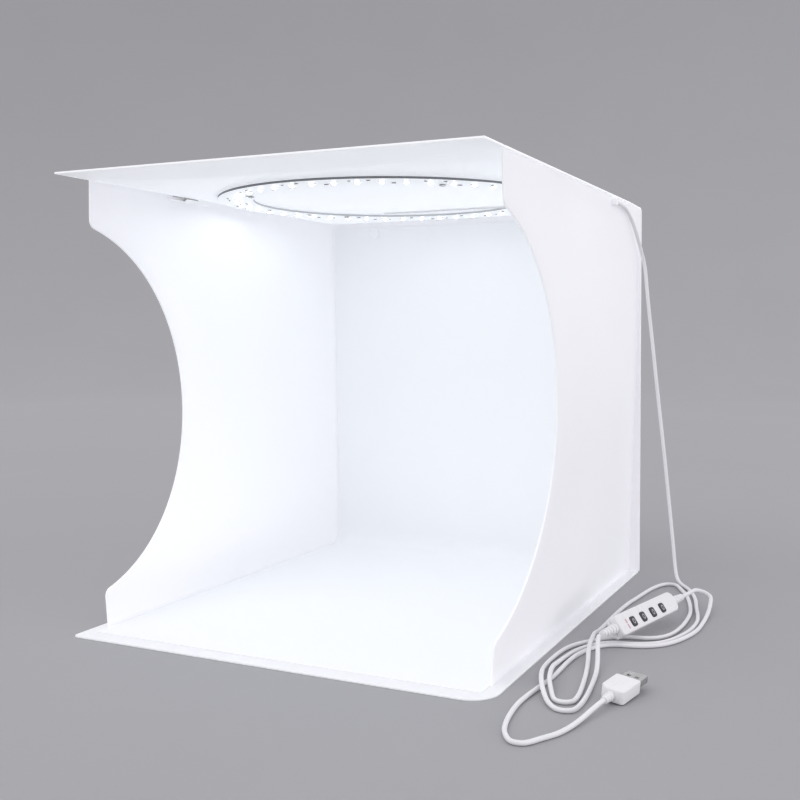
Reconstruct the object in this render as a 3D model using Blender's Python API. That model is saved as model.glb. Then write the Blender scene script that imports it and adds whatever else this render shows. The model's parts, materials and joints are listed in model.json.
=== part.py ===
"""Foldable tabletop light tent: frosted sheet walls, ring of lights, cable with a hand control.

Metres, +Z up. X runs across the tent, -Y is its open front, and the tent stands on z = 0.
"""
import math

import bmesh
import bpy
from mathutils import Euler, Matrix, Vector

# Driving sizes of the tent
HEIGHT = 0.300
OVERALL_DEPTH = 0.3565
FLAP_LONG = 0.0285
WALL_TOP_HALF = 0.1425
WALL_LEAN = 0.0032
ROOF_OVERHANG = 0.0010
FLOOR_OVERHANG = 0.0047
FLOOR_LIP = 0.0250
FLOOR_CORNER_LEFT = 0.0040
FLOOR_CORNER_RIGHT = 0.0180
SHEET = 0.0012
CLEAR = 0.0003
WALL_CLEAR = 0.0004

# Scooped front edge of a side wall
SCOOP_LOW = 0.0266
SCOOP_DROP = 0.0310
SCOOP_DEPTH = 0.0960
EDGE_BOW = 0.0048
SCOOP_STEPS = 22
WALL_COLUMNS = 7

# Backdrop sheet, hung from two studs and swept onto the floor
BACKDROP_SIDE_GAP = 0.0049
BACKDROP_SHEET = 0.0008
BACKDROP_SWEEP = 0.0140
BACKDROP_FRONT_GAP = 0.0130
BACKDROP_TOP_GAP = 0.0050
BACKDROP_CORNER = 0.0040
SWEEP_STEPS = 12
CREASE_STEPS = 6
STUD_INSET = 0.0430
STUD_DROP = 0.0110
STUD_HEAD_R = 0.0052
STUD_HEAD = 0.0012
STUD_SHANK_R = 0.0018

# Ring of lights under the roof
RING_SHIFT = 0.0110
RING_SIDE_GAP = 0.0210
RING_BAND = 0.0250
RING_DROP = 0.0055
BOARD = 0.0019
LIGHTS = 45
LIGHT_ANGLE = math.radians(6.0)
LIGHT_LONG = 0.0035
LIGHT_WIDE = 0.0028
LIGHT_TALL = 0.0009
RING_STEPS = 90
RING_SCREWS = 4
SCREW_ANGLE = math.radians(46.0)
SCREW_HEAD_R = 0.0024
SCREW_HEAD = 0.0010
SCREW_SHANK_R = 0.0012
SCREW_INSET = 0.0040

# Press studs that hold the roof on the walls
TAB_Y = -0.0510
TAB_LONG = 0.0300
TAB_WIDE = 0.0150
SNAP_R = 0.0055
SNAP_TALL = 0.0012

# Lead from the ring to the cable gland
LEAD_D = 0.0020
CLIP_LONG = 0.0060
CLIP_WIDE = 0.0050
CLIP_WALL = 0.0007

# Cable gland in the top edge of the right wall
GLAND_Y = 0.0812
GLAND_DROP = 0.0043
GLAND_LONG = 0.0058
GLAND_PROUD = 0.0034
GLAND_TALL = 0.0040
GLAND_NECK = 0.0036
GLAND_FLANGE = 0.0015
GLAND_ROUND = 0.0007

# Cable and what is on it
CORD_D = 0.0028
CORD_JOINT = 0.0003
RELIEF_LONG = 0.0160
RELIEF_ROOT_R = 0.0034
RELIEF_TIP_R = 0.0023
RELIEF_RIBS = 5
RELIEF_GROOVE = 0.0005

CONTROL_LONG = 0.0780
CONTROL_WIDE = 0.0142
CONTROL_TALL = 0.0084
CONTROL_WALL = 0.0012
CONTROL_CORNER = 0.0034
CONTROL_EDGE = 0.0008
CONTROL_BASE = 0.0030
CONTROL_AT = (0.19495, -0.00105, 0.01520)
CONTROL_HEADING = math.radians(74.7)
CONTROL_PITCH = math.radians(1.5)
CONTROL_ROLL = math.radians(52.8)
CIRCUIT = 0.0012
CIRCUIT_END_GAP = 0.0030
SWITCH_SIDE = 0.0044
SWITCH_TALL = 0.0011

BUTTONS = 4
BUTTON_PITCH = 0.0132
BUTTON_LONG = 0.0056
BUTTON_WIDE = 0.0064
BUTTON_ROW = -0.0013
BUTTON_SHIFT = -0.0022
BUTTON_PROUD = 0.0006
BUTTON_TRAVEL = 0.0004
BUTTON_FLANGE = 0.0007
BUTTON_LIP = 0.0009
BUTTON_ROUND = 0.0012
BUTTON_STEM = 0.0024

PLUG_AT = (0.2087, -0.1335, 0.00560)
PLUG_HEADING = math.radians(78.0)
PLUG_PITCH = math.radians(3.0)
PLUG_ROLL = math.radians(6.0)
GRIP_LONG = 0.0215
GRIP_WIDE = 0.0150
GRIP_TALL = 0.0080
GRIP_SHOULDER = 0.0036
GRIP_EDGE = 0.0008
STUB_LONG = 0.0080
STUB_R = 0.0026
SHELL_LONG = 0.0120
SHELL_WIDE = 0.0120
SHELL_TALL = 0.0045
SHELL_WALL = 0.0004
SHELL_ROUND = 0.0006
LATCH_SIDE = 0.0022
LATCH_SPACING = 0.0050
LATCH_REACH = 0.0052
TONGUE_LONG = 0.0105
TONGUE_TALL = 0.0018

# One overrun serves all cuts, and a long bend is drawn with these steps
OVERRUN = 0.0010
TURN_STEP = math.radians(22.0)
LONG_STEP = 0.0140
FINE_STEP = 0.0004

# Places worked out from the sizes
REAR_PROUD = CLEAR + STUD_HEAD
REAR_Y = OVERALL_DEPTH / 2 - REAR_PROUD
FRONT_Y = -OVERALL_DEPTH / 2
BACK_FACE_Y = REAR_Y - SHEET
WALL_REAR_Y = BACK_FACE_Y - 3 * CLEAR
CREASE_Y = FRONT_Y + FLAP_LONG
WALL_FRONT_Y = CREASE_Y + SHEET / 2 + WALL_CLEAR
FLOOR_FRONT_Y = WALL_FRONT_Y - FLOOR_LIP
ROOF_HALF = WALL_TOP_HALF + ROOF_OVERHANG
FLOOR_HALF = WALL_TOP_HALF + FLOOR_OVERHANG
BACKDROP_HALF = WALL_TOP_HALF - BACKDROP_SIDE_GAP
ROOF_Z = HEIGHT - SHEET
SCOOP_HIGH = HEIGHT - SCOOP_DROP
RING_Y = (CREASE_Y + REAR_Y) / 2 - RING_SHIFT
RING_OUTER = WALL_TOP_HALF - RING_SIDE_GAP
RING_INNER = RING_OUTER - RING_BAND
RING_FACE_Z = ROOF_Z - RING_DROP
LIGHT_R = (RING_INNER + RING_OUTER) / 2
SCREW_CIRCLE_R = RING_INNER + SCREW_INSET
GLAND_Z = ROOF_Z - GLAND_DROP
LEAD_Z = GLAND_Z
WALL_BASE_Z = SHEET + WALL_CLEAR
WALL_TOP_Z = ROOF_Z - WALL_CLEAR
HINGE_X = WALL_TOP_HALF + SHEET
HINGE_Y = BACK_FACE_Y - CLEAR
BOARD_TOP_Z = RING_FACE_Z + BOARD
BACKDROP_BACK_Y = BACK_FACE_Y - CLEAR
BACKDROP_BASE_Z = SHEET + CLEAR
STUD_Z = HEIGHT - STUD_DROP
SNAP_TOP_Z = ROOF_Z - CLEAR
TAB_TOP_Z = SNAP_TOP_Z - 2 * SNAP_TALL - 2 * CLEAR

# Cable from the gland to the control: down to the floor, then twice round a long figure of eight.
# The points are places read by eye along the cable, in metres, and a smooth curve runs through them.
ROUTE_IN = [
    (0.1446, 0.0844, 0.2945), (0.1446, 0.0900, 0.2945), (0.1446, 0.1010, 0.2942),
    (0.1447, 0.1137, 0.2925), (0.1450, 0.1320, 0.2857), (0.1456, 0.1472, 0.2755),
    (0.1464, 0.1590, 0.2650), (0.1480, 0.1662, 0.2530), (0.1515, 0.1655, 0.2261),
    (0.1565, 0.1670, 0.1862), (0.1615, 0.1686, 0.1459), (0.1670, 0.1690, 0.1052),
    (0.1725, 0.1680, 0.0645), (0.1782, 0.1635, 0.0270), (0.1805, 0.1598, 0.0140),
    (0.1830, 0.1545, 0.0060), (0.1862, 0.1485, 0.0026), (0.1905, 0.1415, 0.0015),
    (0.1970, 0.1300, 0.0015), (0.2028, 0.1160, 0.0015), (0.2082, 0.0985, 0.0015),
    (0.2132, 0.0748, 0.0015), (0.2178, 0.0542, 0.0015), (0.2202, 0.0376, 0.0015),
    (0.2203, 0.0229, 0.0015), (0.2191, 0.0102, 0.0015), (0.2164, -0.0021, 0.0015),
    (0.2127, -0.0134, 0.0015), (0.2069, -0.0237, 0.0015), (0.1986, -0.0305, 0.0015),
    (0.1895, -0.0339, 0.0015), (0.1800, -0.0361, 0.0015), (0.1738, -0.0410, 0.0015),
    (0.1688, -0.0480, 0.0015), (0.1650, -0.0570, 0.0015), (0.1625, -0.0665, 0.0015),
    (0.1612, -0.0780, 0.0016), (0.1610, -0.0934, 0.0026), (0.1622, -0.1070, 0.0044),
    (0.1645, -0.1190, 0.0050), (0.1680, -0.1320, 0.0048), (0.1728, -0.1440, 0.0030),
    (0.1770, -0.1527, 0.0017), (0.1792, -0.1550, 0.0015), (0.1823, -0.1559, 0.0015),
    (0.1853, -0.1551, 0.0015), (0.1875, -0.1529, 0.0015), (0.1882, -0.1493, 0.0015),
    (0.1877, -0.1400, 0.0015), (0.1848, -0.1216, 0.0015), (0.1811, -0.1023, 0.0015),
    (0.1762, -0.0810, 0.0018), (0.1722, -0.0650, 0.0044), (0.1698, -0.0530, 0.0051),
    (0.1680, -0.0420, 0.0050), (0.1664, -0.0300, 0.0046), (0.1654, -0.0170, 0.0026),
    (0.1648, -0.0040, 0.0016), (0.1645, 0.0160, 0.0015), (0.1645, 0.0390, 0.0015),
    (0.1654, 0.0660, 0.0015), (0.1671, 0.0828, 0.0015), (0.1689, 0.1004, 0.0015),
    (0.1710, 0.1174, 0.0015), (0.1738, 0.1295, 0.0015), (0.1765, 0.1364, 0.0015),
    (0.1787, 0.1391, 0.0015), (0.1819, 0.1402, 0.0015), (0.1851, 0.1393, 0.0015),
    (0.1872, 0.1370, 0.0015), (0.1930, 0.1245, 0.0015),
    (0.1985, 0.1120, 0.0015), (0.2040, 0.0945, 0.0015), (0.2090, 0.0740, 0.0015),
    (0.2118, 0.0577, 0.0015), (0.2129, 0.0405, 0.0015), (0.2129, 0.0215, 0.0015),
    (0.2111, 0.0044, 0.0015), (0.2080, -0.0060, 0.0015), (0.2032, -0.0126, 0.0015),
    (0.1970, -0.0162, 0.0015), (0.1900, -0.0180, 0.0015), (0.1835, -0.0198, 0.0015),
    (0.1775, -0.0235, 0.0015), (0.1715, -0.0305, 0.0015), (0.1660, -0.0385, 0.0015),
    (0.1610, -0.0470, 0.0015), (0.1572, -0.0570, 0.0015), (0.1552, -0.0700, 0.0015),
    (0.1549, -0.0882, 0.0018), (0.1565, -0.1040, 0.0030), (0.1592, -0.1180, 0.0046),
    (0.1628, -0.1310, 0.0052), (0.1680, -0.1450, 0.0046), (0.1745, -0.1575, 0.0022),
    (0.1790, -0.1636, 0.0016), (0.1826, -0.1670, 0.0015), (0.1859, -0.1682, 0.0015),
    (0.1890, -0.1676, 0.0015), (0.1915, -0.1656, 0.0015), (0.1926, -0.1622, 0.0015),
    (0.1929, -0.1500, 0.0015), (0.1916, -0.1350, 0.0015), (0.1893, -0.1173, 0.0016),
    (0.1868, -0.1010, 0.0024), (0.1840, -0.0880, 0.0045), (0.1811, -0.0770, 0.0075),
    (0.1785, -0.0675, 0.0100), (0.1768, -0.0600, 0.0110), (0.1763, -0.0572, 0.0111),
]

# Cable from the control to the plug: one outer loop, under the eight, and a wide sweep to the plug.
ROUTE_OUT = [
    (0.2063, 0.0540, 0.0141), (0.2071, 0.0569, 0.0142), (0.2080, 0.0610, 0.0142),
    (0.2093, 0.0680, 0.0141), (0.2101, 0.0748, 0.0138), (0.2108, 0.0806, 0.0133),
    (0.2124, 0.0836, 0.0127), (0.2155, 0.0852, 0.0117), (0.2190, 0.0848, 0.0104),
    (0.2213, 0.0828, 0.0092), (0.2223, 0.0798, 0.0080), (0.2231, 0.0726, 0.0058),
    (0.2237, 0.0650, 0.0043), (0.2241, 0.0550, 0.0028),
    (0.2243, 0.0430, 0.0018), (0.2243, 0.0310, 0.0015), (0.2240, 0.0190, 0.0015),
    (0.2226, 0.0075, 0.0015), (0.2197, -0.0045, 0.0015), (0.2158, -0.0158, 0.0015),
    (0.2095, -0.0266, 0.0015), (0.2003, -0.0342, 0.0015), (0.1905, -0.0378, 0.0015),
    (0.1815, -0.0402, 0.0015), (0.1762, -0.0445, 0.0015), (0.1718, -0.0515, 0.0015),
    (0.1685, -0.0610, 0.0015), (0.1662, -0.0730, 0.0015), (0.1654, -0.0880, 0.0015),
    (0.1655, -0.1030, 0.0015), (0.1656, -0.1150, 0.0015), (0.1650, -0.1270, 0.0015),
    (0.1638, -0.1400, 0.0015), (0.1626, -0.1530, 0.0015), (0.1620, -0.1660, 0.0015),
    (0.1628, -0.1790, 0.0015), (0.1656, -0.1972, 0.0015), (0.1692, -0.2093, 0.0015),
    (0.1737, -0.2172, 0.0015), (0.1761, -0.2197, 0.0015), (0.1792, -0.2205, 0.0015),
    (0.1823, -0.2197, 0.0015), (0.1845, -0.2176, 0.0015),
    (0.1890, -0.2098, 0.0015), (0.1940, -0.2007, 0.0015), (0.1975, -0.1895, 0.0017),
    (0.2000, -0.1775, 0.0024), (0.2022, -0.1650, 0.0036), (0.2040, -0.1560, 0.0045),
    (0.2047, -0.1528, 0.0047),
]


def clear_scene():
    for item in list(bpy.data.objects):
        bpy.data.objects.remove(item, do_unlink=True)


def material(name, colour, roughness, metallic=0.0):
    made = bpy.data.materials.new(name)
    made.use_nodes = True
    shader = made.node_tree.nodes["Principled BSDF"]
    shader.inputs["Base Color"].default_value = (*colour, 1.0)
    shader.inputs["Roughness"].default_value = roughness
    shader.inputs["Metallic"].default_value = metallic
    return made


def frosted(name):
    return material(name, (0.93, 0.94, 0.96), 0.45)


def white_plastic(name):
    return material(name, (0.90, 0.90, 0.90), 0.38)


def steel(name):
    return material(name, (0.62, 0.62, 0.62), 0.28, 1.0)


def add_object(name, bm, surface=None, smooth=None):
    """Closed body from a bmesh, faces out, with its own material."""
    bmesh.ops.recalc_face_normals(bm, faces=bm.faces)
    mesh = bpy.data.meshes.new(name)
    bm.to_mesh(mesh)
    bm.free()
    made = bpy.data.objects.new(name, mesh)
    bpy.context.scene.collection.objects.link(made)
    if surface is not None:
        mesh.materials.append(surface)
    if smooth is not None:
        mesh.shade_smooth()
        mesh.set_sharp_from_angle(angle=smooth)
    return made


def boxed(low, high):
    """Box between two corners, as a bmesh."""
    low, high = Vector(low), Vector(high)
    size = high - low
    bm = bmesh.new()
    place = Matrix.Translation((low + high) / 2) @ Matrix.Diagonal((*size, 1.0))
    bmesh.ops.create_cube(bm, size=1.0, matrix=place)
    return bm


def round_upright_edges(bm, radius, steps):
    """Round the edges that run along Z."""
    upright = [e for e in bm.edges if abs((e.verts[0].co - e.verts[1].co).normalized().z) > 0.99]
    bmesh.ops.bevel(bm, geom=upright, offset=radius, segments=steps, profile=0.5,
                    affect='EDGES', clamp_overlap=True)


def prism(outline, low, high):
    """Flat outline in XY, drawn up from low to high in Z, as a bmesh."""
    bm = bmesh.new()
    base = [bm.verts.new((x, y, low)) for x, y in outline]
    face = bm.faces.new(base)
    drawn = bmesh.ops.extrude_face_region(bm, geom=[face])
    top = [v for v in drawn["geom"] if isinstance(v, bmesh.types.BMVert)]
    bmesh.ops.translate(bm, verts=top, vec=(0, 0, high - low))
    return bm


def turned(profile, steps):
    """Profile of (radius, z), closed between its ends, turned about Z, as a bmesh."""
    bm = bmesh.new()
    rings = []
    for radius, z in profile:
        if radius == 0:
            rings.append([bm.verts.new((0, 0, z))] * steps)
            continue
        turn = [2 * math.pi * i / steps for i in range(steps)]
        rings.append([bm.verts.new((radius * math.cos(t), radius * math.sin(t), z)) for t in turn])
    for k in range(len(rings)):
        here, there = rings[k], rings[(k + 1) % len(rings)]
        if profile[k][0] == 0 and profile[(k + 1) % len(rings)][0] == 0:
            continue
        for i in range(steps):
            j = (i + 1) % steps
            corners = [here[i], here[j], there[j], there[i]]
            face = list(dict.fromkeys(corners))
            bm.faces.new(face)
    return bm


def move(bm, matrix):
    bmesh.ops.transform(bm, matrix=matrix, verts=bm.verts)
    return bm


def sideways():
    """Turns an outline drawn in XY and pulled along Z into one drawn in YZ and pulled along X."""
    return Matrix(((0, 0, 1, 0), (1, 0, 0, 0), (0, 1, 0, 0), (0, 0, 0, 1)))


def bevelled(item, width, steps=2, angle=math.radians(40)):
    soft = item.modifiers.new("Edges", 'BEVEL')
    soft.width = width
    soft.segments = steps
    soft.limit_method = 'ANGLE'
    soft.angle_limit = angle
    return item


def tool_from(bm, name):
    """Hidden body used for a cut or a union."""
    made = add_object(name, bm)
    made.hide_render = True
    made.display_type = 'WIRE'
    return made


def combine(item, bm, operation, name):
    change = item.modifiers.new(name, 'BOOLEAN')
    change.operation = operation
    change.object = tool_from(bm, name)
    return item


def scoop_edge(z):
    """Y of a wall's front edge at height z: straight, with one round scoop."""
    half = (SCOOP_HIGH - SCOOP_LOW) / 2
    radius = (half * half + SCOOP_DEPTH * SCOOP_DEPTH) / (2 * SCOOP_DEPTH)
    rise = z - (SCOOP_HIGH + SCOOP_LOW) / 2
    if abs(rise) >= half:
        return WALL_FRONT_Y
    return WALL_FRONT_Y + SCOOP_DEPTH - radius + math.sqrt(radius * radius - rise * rise)


def wall_heights():
    """Heights of the wall's rows, close together where the scoop turns fast."""
    middle = (SCOOP_HIGH + SCOOP_LOW) / 2
    half = (SCOOP_HIGH - SCOOP_LOW) / 2
    turns = [math.pi * (k / SCOOP_STEPS - 0.5) for k in range(SCOOP_STEPS + 1)]
    scoop = [middle + half * math.sin(t) for t in turns]
    return [WALL_BASE_Z] + scoop + [WALL_TOP_Z]


def wall_face_x(y, z):
    """Half width of a wall's outer face: it leans in downwards and its free edge bows out."""
    front = scoop_edge(z)
    share = (WALL_REAR_Y - y) / (WALL_REAR_Y - front)
    bow = EDGE_BOW * math.sin(math.pi * z / HEIGHT) * share * share
    return WALL_TOP_HALF - WALL_LEAN * (1 - z / HEIGHT) + bow


def side_wall(side):
    """Bowed sheet with a scooped front edge, as a bmesh; side is +1 for right, -1 for left."""
    bm = bmesh.new()
    skins = []
    for inset in (0, SHEET):
        skin = []
        for z in wall_heights():
            front = scoop_edge(z)
            row = []
            for k in range(WALL_COLUMNS + 1):
                y = front + (WALL_REAR_Y - front) * k / WALL_COLUMNS
                row.append(bm.verts.new((side * (wall_face_x(y, z) - inset), y, z)))
            skin.append(row)
        skins.append(skin)
    rows, columns = len(skins[0]), WALL_COLUMNS + 1
    for skin in skins:
        for r in range(rows - 1):
            for c in range(columns - 1):
                bm.faces.new((skin[r][c], skin[r][c + 1], skin[r + 1][c + 1], skin[r + 1][c]))
    rim = [(0, c) for c in range(columns)] + [(r, columns - 1) for r in range(1, rows)]
    rim += [(rows - 1, c) for c in range(columns - 2, -1, -1)] + [(r, 0) for r in range(rows - 2, 0, -1)]
    for k, (r, c) in enumerate(rim):
        s, d = rim[(k + 1) % len(rim)]
        bm.faces.new((skins[0][r][c], skins[0][s][d], skins[1][s][d], skins[1][r][c]))
    return bm


def snap_tab(side):
    """Tab at a wall's top edge, folded in under the roof to carry its press stud."""
    inner = WALL_TOP_HALF - TAB_WIDE
    outer = WALL_TOP_HALF - SHEET / 2
    bm = boxed((inner, TAB_Y - TAB_LONG / 2, TAB_TOP_Z - SHEET),
               (outer, TAB_Y + TAB_LONG / 2, TAB_TOP_Z))
    return move(bm, Matrix.Diagonal((side, 1.0, 1.0, 1.0)))


def snap_x():
    return WALL_TOP_HALF - TAB_WIDE / 2 - SHEET / 2


def build_walls():
    for side, word in ((-1, "left"), (1, "right")):
        wall = add_object(word + "_wall", side_wall(side), frosted(word + "_wall"), math.radians(30))
        combine(wall, snap_tab(side), 'UNION', word + "_tab")
        if side > 0:
            notch = boxed((WALL_TOP_HALF - 4 * SHEET, GLAND_Y - GLAND_NECK / 2 - CLEAR,
                           GLAND_Z - GLAND_TALL / 2),
                          (WALL_TOP_HALF + 4 * SHEET, GLAND_Y + GLAND_NECK / 2 + CLEAR,
                           WALL_TOP_Z + OVERRUN))
            combine(wall, notch, 'DIFFERENCE', "gland_notch")
        stud = turned([(0, 0), (SNAP_R, 0), (SNAP_R, SNAP_TALL - CLEAR), (SNAP_R - CLEAR, SNAP_TALL),
                       (0, SNAP_TALL)], 20)
        move(stud, Matrix.Translation((side * snap_x(), TAB_Y, TAB_TOP_Z + CLEAR)))
        add_object("snap_stud_" + word, stud, steel("snap_stud_" + word), math.radians(30))
        socket = turned([(0, 0), (SNAP_R, 0), (SNAP_R, SNAP_TALL), (0, SNAP_TALL)], 20)
        move(socket, Matrix.Translation((side * snap_x(), TAB_Y, SNAP_TOP_Z - SNAP_TALL)))
        add_object("snap_socket_" + word, socket, steel("snap_socket_" + word), math.radians(30))


def rounded_front(half, front, rear, radii):
    """Outline of a panel with its two front corners rounded, left radius first."""
    points = [(half, rear), (-half, rear)]
    for side, radius in zip((-1, 1), radii):
        for k in range(7):
            turn = math.pi / 2 * k / 6
            lean = turn if side < 0 else math.pi / 2 - turn
            points.append((side * (half - radius + radius * math.cos(lean)),
                           front + radius - radius * math.sin(lean)))
    return points


def build_panels():
    corners = (FLOOR_CORNER_LEFT, FLOOR_CORNER_RIGHT)
    floor = prism(rounded_front(FLOOR_HALF, FLOOR_FRONT_Y, REAR_Y, corners), 0, SHEET)
    add_object("bottom_panel", floor, frosted("bottom_panel"), math.radians(30))
    outline = [(-FLOOR_HALF, WALL_BASE_Z), (FLOOR_HALF, WALL_BASE_Z), (ROOF_HALF, WALL_TOP_Z),
               (-ROOF_HALF, WALL_TOP_Z)]
    back = prism(outline, 0, SHEET)
    move(back, Matrix.Translation((0, REAR_Y, 0)) @ Matrix.Rotation(math.pi / 2, 4, 'X'))
    back_panel = add_object("back_panel", back, frosted("back_panel"))
    for side, word in ((-1, "left"), (1, "right")):
        combine(back_panel, stud_hole(side), 'DIFFERENCE', "back_hole_" + word)
    roof = boxed((-ROOF_HALF, CREASE_Y + SHEET / 2 + CLEAR, ROOF_Z), (ROOF_HALF, REAR_Y, HEIGHT))
    top_panel = add_object("top_panel", roof, frosted("top_panel"))
    for k in range(RING_SCREWS):
        combine(top_panel, screw_hole(k), 'DIFFERENCE', "roof_hole_%d" % (k + 1))
    turns = [math.pi * (k / CREASE_STEPS - 0.5) for k in range(CREASE_STEPS + 1)]
    outline = [(FRONT_Y, HEIGHT), (FRONT_Y, ROOF_Z)]
    outline += [(CREASE_Y + SHEET / 2 * math.cos(t), ROOF_Z + SHEET / 2 * (1 + math.sin(t))) for t in turns]
    flap = move(prism(outline, -ROOF_HALF, ROOF_HALF), sideways())
    add_object("top_flap", flap, frosted("top_flap"), math.radians(60))


def stud_x(side):
    return side * (WALL_TOP_HALF - STUD_INSET)


def stud_hole(side):
    bm = turned([(0, 0), (STUD_SHANK_R + CLEAR, 0), (STUD_SHANK_R + CLEAR, 4 * SHEET + 2 * OVERRUN),
                 (0, 4 * SHEET + 2 * OVERRUN)], 16)
    return move(bm, Matrix.Translation((stud_x(side), REAR_Y + OVERRUN, STUD_Z))
                @ Matrix.Rotation(math.pi / 2, 4, 'X'))


def build_backdrop():
    """One thin sheet: flat on the floor, swept up, and flat against the back."""
    low, back = BACKDROP_BASE_Z, BACKDROP_BACK_Y
    front = WALL_FRONT_Y - BACKDROP_FRONT_GAP
    top = ROOF_Z - BACKDROP_TOP_GAP
    under = [(front, low)]
    over = [(front, low + BACKDROP_SHEET)]
    for k in range(SWEEP_STEPS + 1):
        turn = math.pi / 2 * k / SWEEP_STEPS
        centre_y, centre_z = back - BACKDROP_SWEEP, low + BACKDROP_SWEEP
        for skin, radius in ((under, BACKDROP_SWEEP), (over, BACKDROP_SWEEP - BACKDROP_SHEET)):
            skin.append((centre_y + radius * math.sin(turn), centre_z - radius * math.cos(turn)))
    under.append((back, top))
    over.append((back - BACKDROP_SHEET, top))
    outline = under + over[::-1]
    bm = prism(outline, -BACKDROP_HALF, BACKDROP_HALF)
    sheet = add_object("backdrop_sheet", move(bm, sideways()),
                       material("backdrop_sheet", (0.94, 0.95, 0.96), 0.6), math.radians(20))
    for side, word in ((-1, "left"), (1, "right")):
        combine(sheet, stud_hole(side), 'DIFFERENCE', "sheet_hole_" + word)
        face = BACKDROP_BACK_Y - BACKDROP_SHEET - CLEAR
        length = REAR_Y - face
        stud = turned([(0, -STUD_HEAD), (STUD_HEAD_R - STUD_HEAD / 2, -STUD_HEAD), (STUD_HEAD_R, 0),
                       (STUD_SHANK_R, 0), (STUD_SHANK_R, length), (0, length)], 20)
        lay = Matrix.Translation((stud_x(side), face, STUD_Z)) @ Matrix.Rotation(-math.pi / 2, 4, 'X')
        add_object("backdrop_stud_" + word, move(stud, lay), white_plastic("backdrop_stud_" + word),
                   math.radians(30))
        cap = turned([(0, 0), (STUD_HEAD_R, 0), (STUD_HEAD_R - STUD_HEAD / 2, STUD_HEAD),
                      (0, STUD_HEAD)], 20)
        lay = Matrix.Translation((stud_x(side), REAR_Y + CLEAR, STUD_Z))
        lay = lay @ Matrix.Rotation(-math.pi / 2, 4, 'X')
        add_object("backdrop_cap_" + word, move(cap, lay), white_plastic("backdrop_cap_" + word),
                   math.radians(30))


def ring_body(inner, outer, low, high):
    bm = turned([(inner, low), (outer, low), (outer, high), (inner, high)], RING_STEPS)
    return move(bm, Matrix.Translation((0, RING_Y, 0)))


def screw_place(k):
    turn = SCREW_ANGLE + 2 * math.pi * k / RING_SCREWS
    return Matrix.Translation((SCREW_CIRCLE_R * math.cos(turn),
                               RING_Y + SCREW_CIRCLE_R * math.sin(turn), 0))


def screw_hole(k):
    radius = SCREW_SHANK_R + CLEAR
    low, high = RING_FACE_Z - OVERRUN, HEIGHT + OVERRUN
    return move(turned([(0, low), (radius, low), (radius, high), (0, high)], 16), screw_place(k))


def light_units():
    """Lights as one bmesh of small blocks set into the board's lower face."""
    bm = bmesh.new()
    for k in range(LIGHTS):
        turn = LIGHT_ANGLE + 2 * math.pi * k / LIGHTS
        low = RING_FACE_Z - LIGHT_TALL
        place = Matrix.Translation((0, RING_Y, low + (LIGHT_TALL + BOARD / 2) / 2))
        place = place @ Matrix.Rotation(turn, 4, 'Z') @ Matrix.Translation((LIGHT_R, 0, 0))
        place = place @ Matrix.Diagonal((LIGHT_WIDE, LIGHT_LONG, LIGHT_TALL + BOARD / 2, 1.0))
        bmesh.ops.create_cube(bm, size=1.0, matrix=place)
    return bm


def build_ring():
    carrier = add_object("ring_carrier", ring_body(RING_INNER, RING_OUTER - CLEAR, BOARD_TOP_Z + CLEAR,
                                                   ROOF_Z - CLEAR),
                         white_plastic("ring_carrier"), math.radians(30))
    board = add_object("ring_board", ring_body(RING_INNER, RING_OUTER, RING_FACE_Z, BOARD_TOP_Z),
                       material("ring_board", (0.55, 0.56, 0.58), 0.5), math.radians(30))
    combine(board, light_units(), 'UNION', "ring_lights")
    for k in range(RING_SCREWS):
        combine(carrier, screw_hole(k), 'DIFFERENCE', "carrier_hole_%d" % (k + 1))
        combine(board, screw_hole(k), 'DIFFERENCE', "board_hole_%d" % (k + 1))
        head = RING_FACE_Z - CLEAR
        profile = [(0, head - SCREW_HEAD), (SCREW_HEAD_R - SCREW_HEAD / 2, head - SCREW_HEAD),
                   (SCREW_HEAD_R, head), (SCREW_SHANK_R, head), (SCREW_SHANK_R, HEIGHT - CLEAR),
                   (0, HEIGHT - CLEAR)]
        name = "ring_screw_%d" % (k + 1)
        add_object(name, move(turned(profile, 14), screw_place(k)), steel(name), math.radians(30))


def lead_start_x():
    """The lead starts just outside the ring, on the gland's line."""
    reach = GLAND_Y - RING_Y - LEAD_D / 2
    return math.sqrt(RING_OUTER * RING_OUTER - reach * reach) + 2 * CLEAR


def build_lead():
    start = lead_start_x()
    end = WALL_TOP_HALF - SHEET - WALL_CLEAR - GLAND_FLANGE - CLEAR
    tube("ring_lead", [(start, GLAND_Y, LEAD_Z), ((start + end) / 2, GLAND_Y, LEAD_Z),
                       (end, GLAND_Y, LEAD_Z)], LEAD_D, 2)
    for k in range(2):
        x = start + (end - start) * (k + 1) / 3
        low = LEAD_Z - LEAD_D / 2 - CLEAR - CLIP_WALL
        high = ROOF_Z - CLEAR
        name = "lead_clip_%d" % (k + 1)
        half_x, half_y = CLIP_WIDE / 2, CLIP_LONG / 2
        clip = add_object(name, boxed((x - half_x, GLAND_Y - half_y, low), (x + half_x, GLAND_Y + half_y, high)),
                          white_plastic(name))
        room = LEAD_D / 2 + CLEAR
        slot = turned([(0, 0), (room, 0), (room, CLIP_WIDE + 2 * OVERRUN), (0, CLIP_WIDE + 2 * OVERRUN)], 16)
        lay = Matrix.Translation((x - half_x - OVERRUN, GLAND_Y, LEAD_Z)) @ Matrix.Rotation(math.pi / 2, 4, 'Y')
        combine(clip, move(slot, lay), 'DIFFERENCE', name + "_bore")


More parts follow.
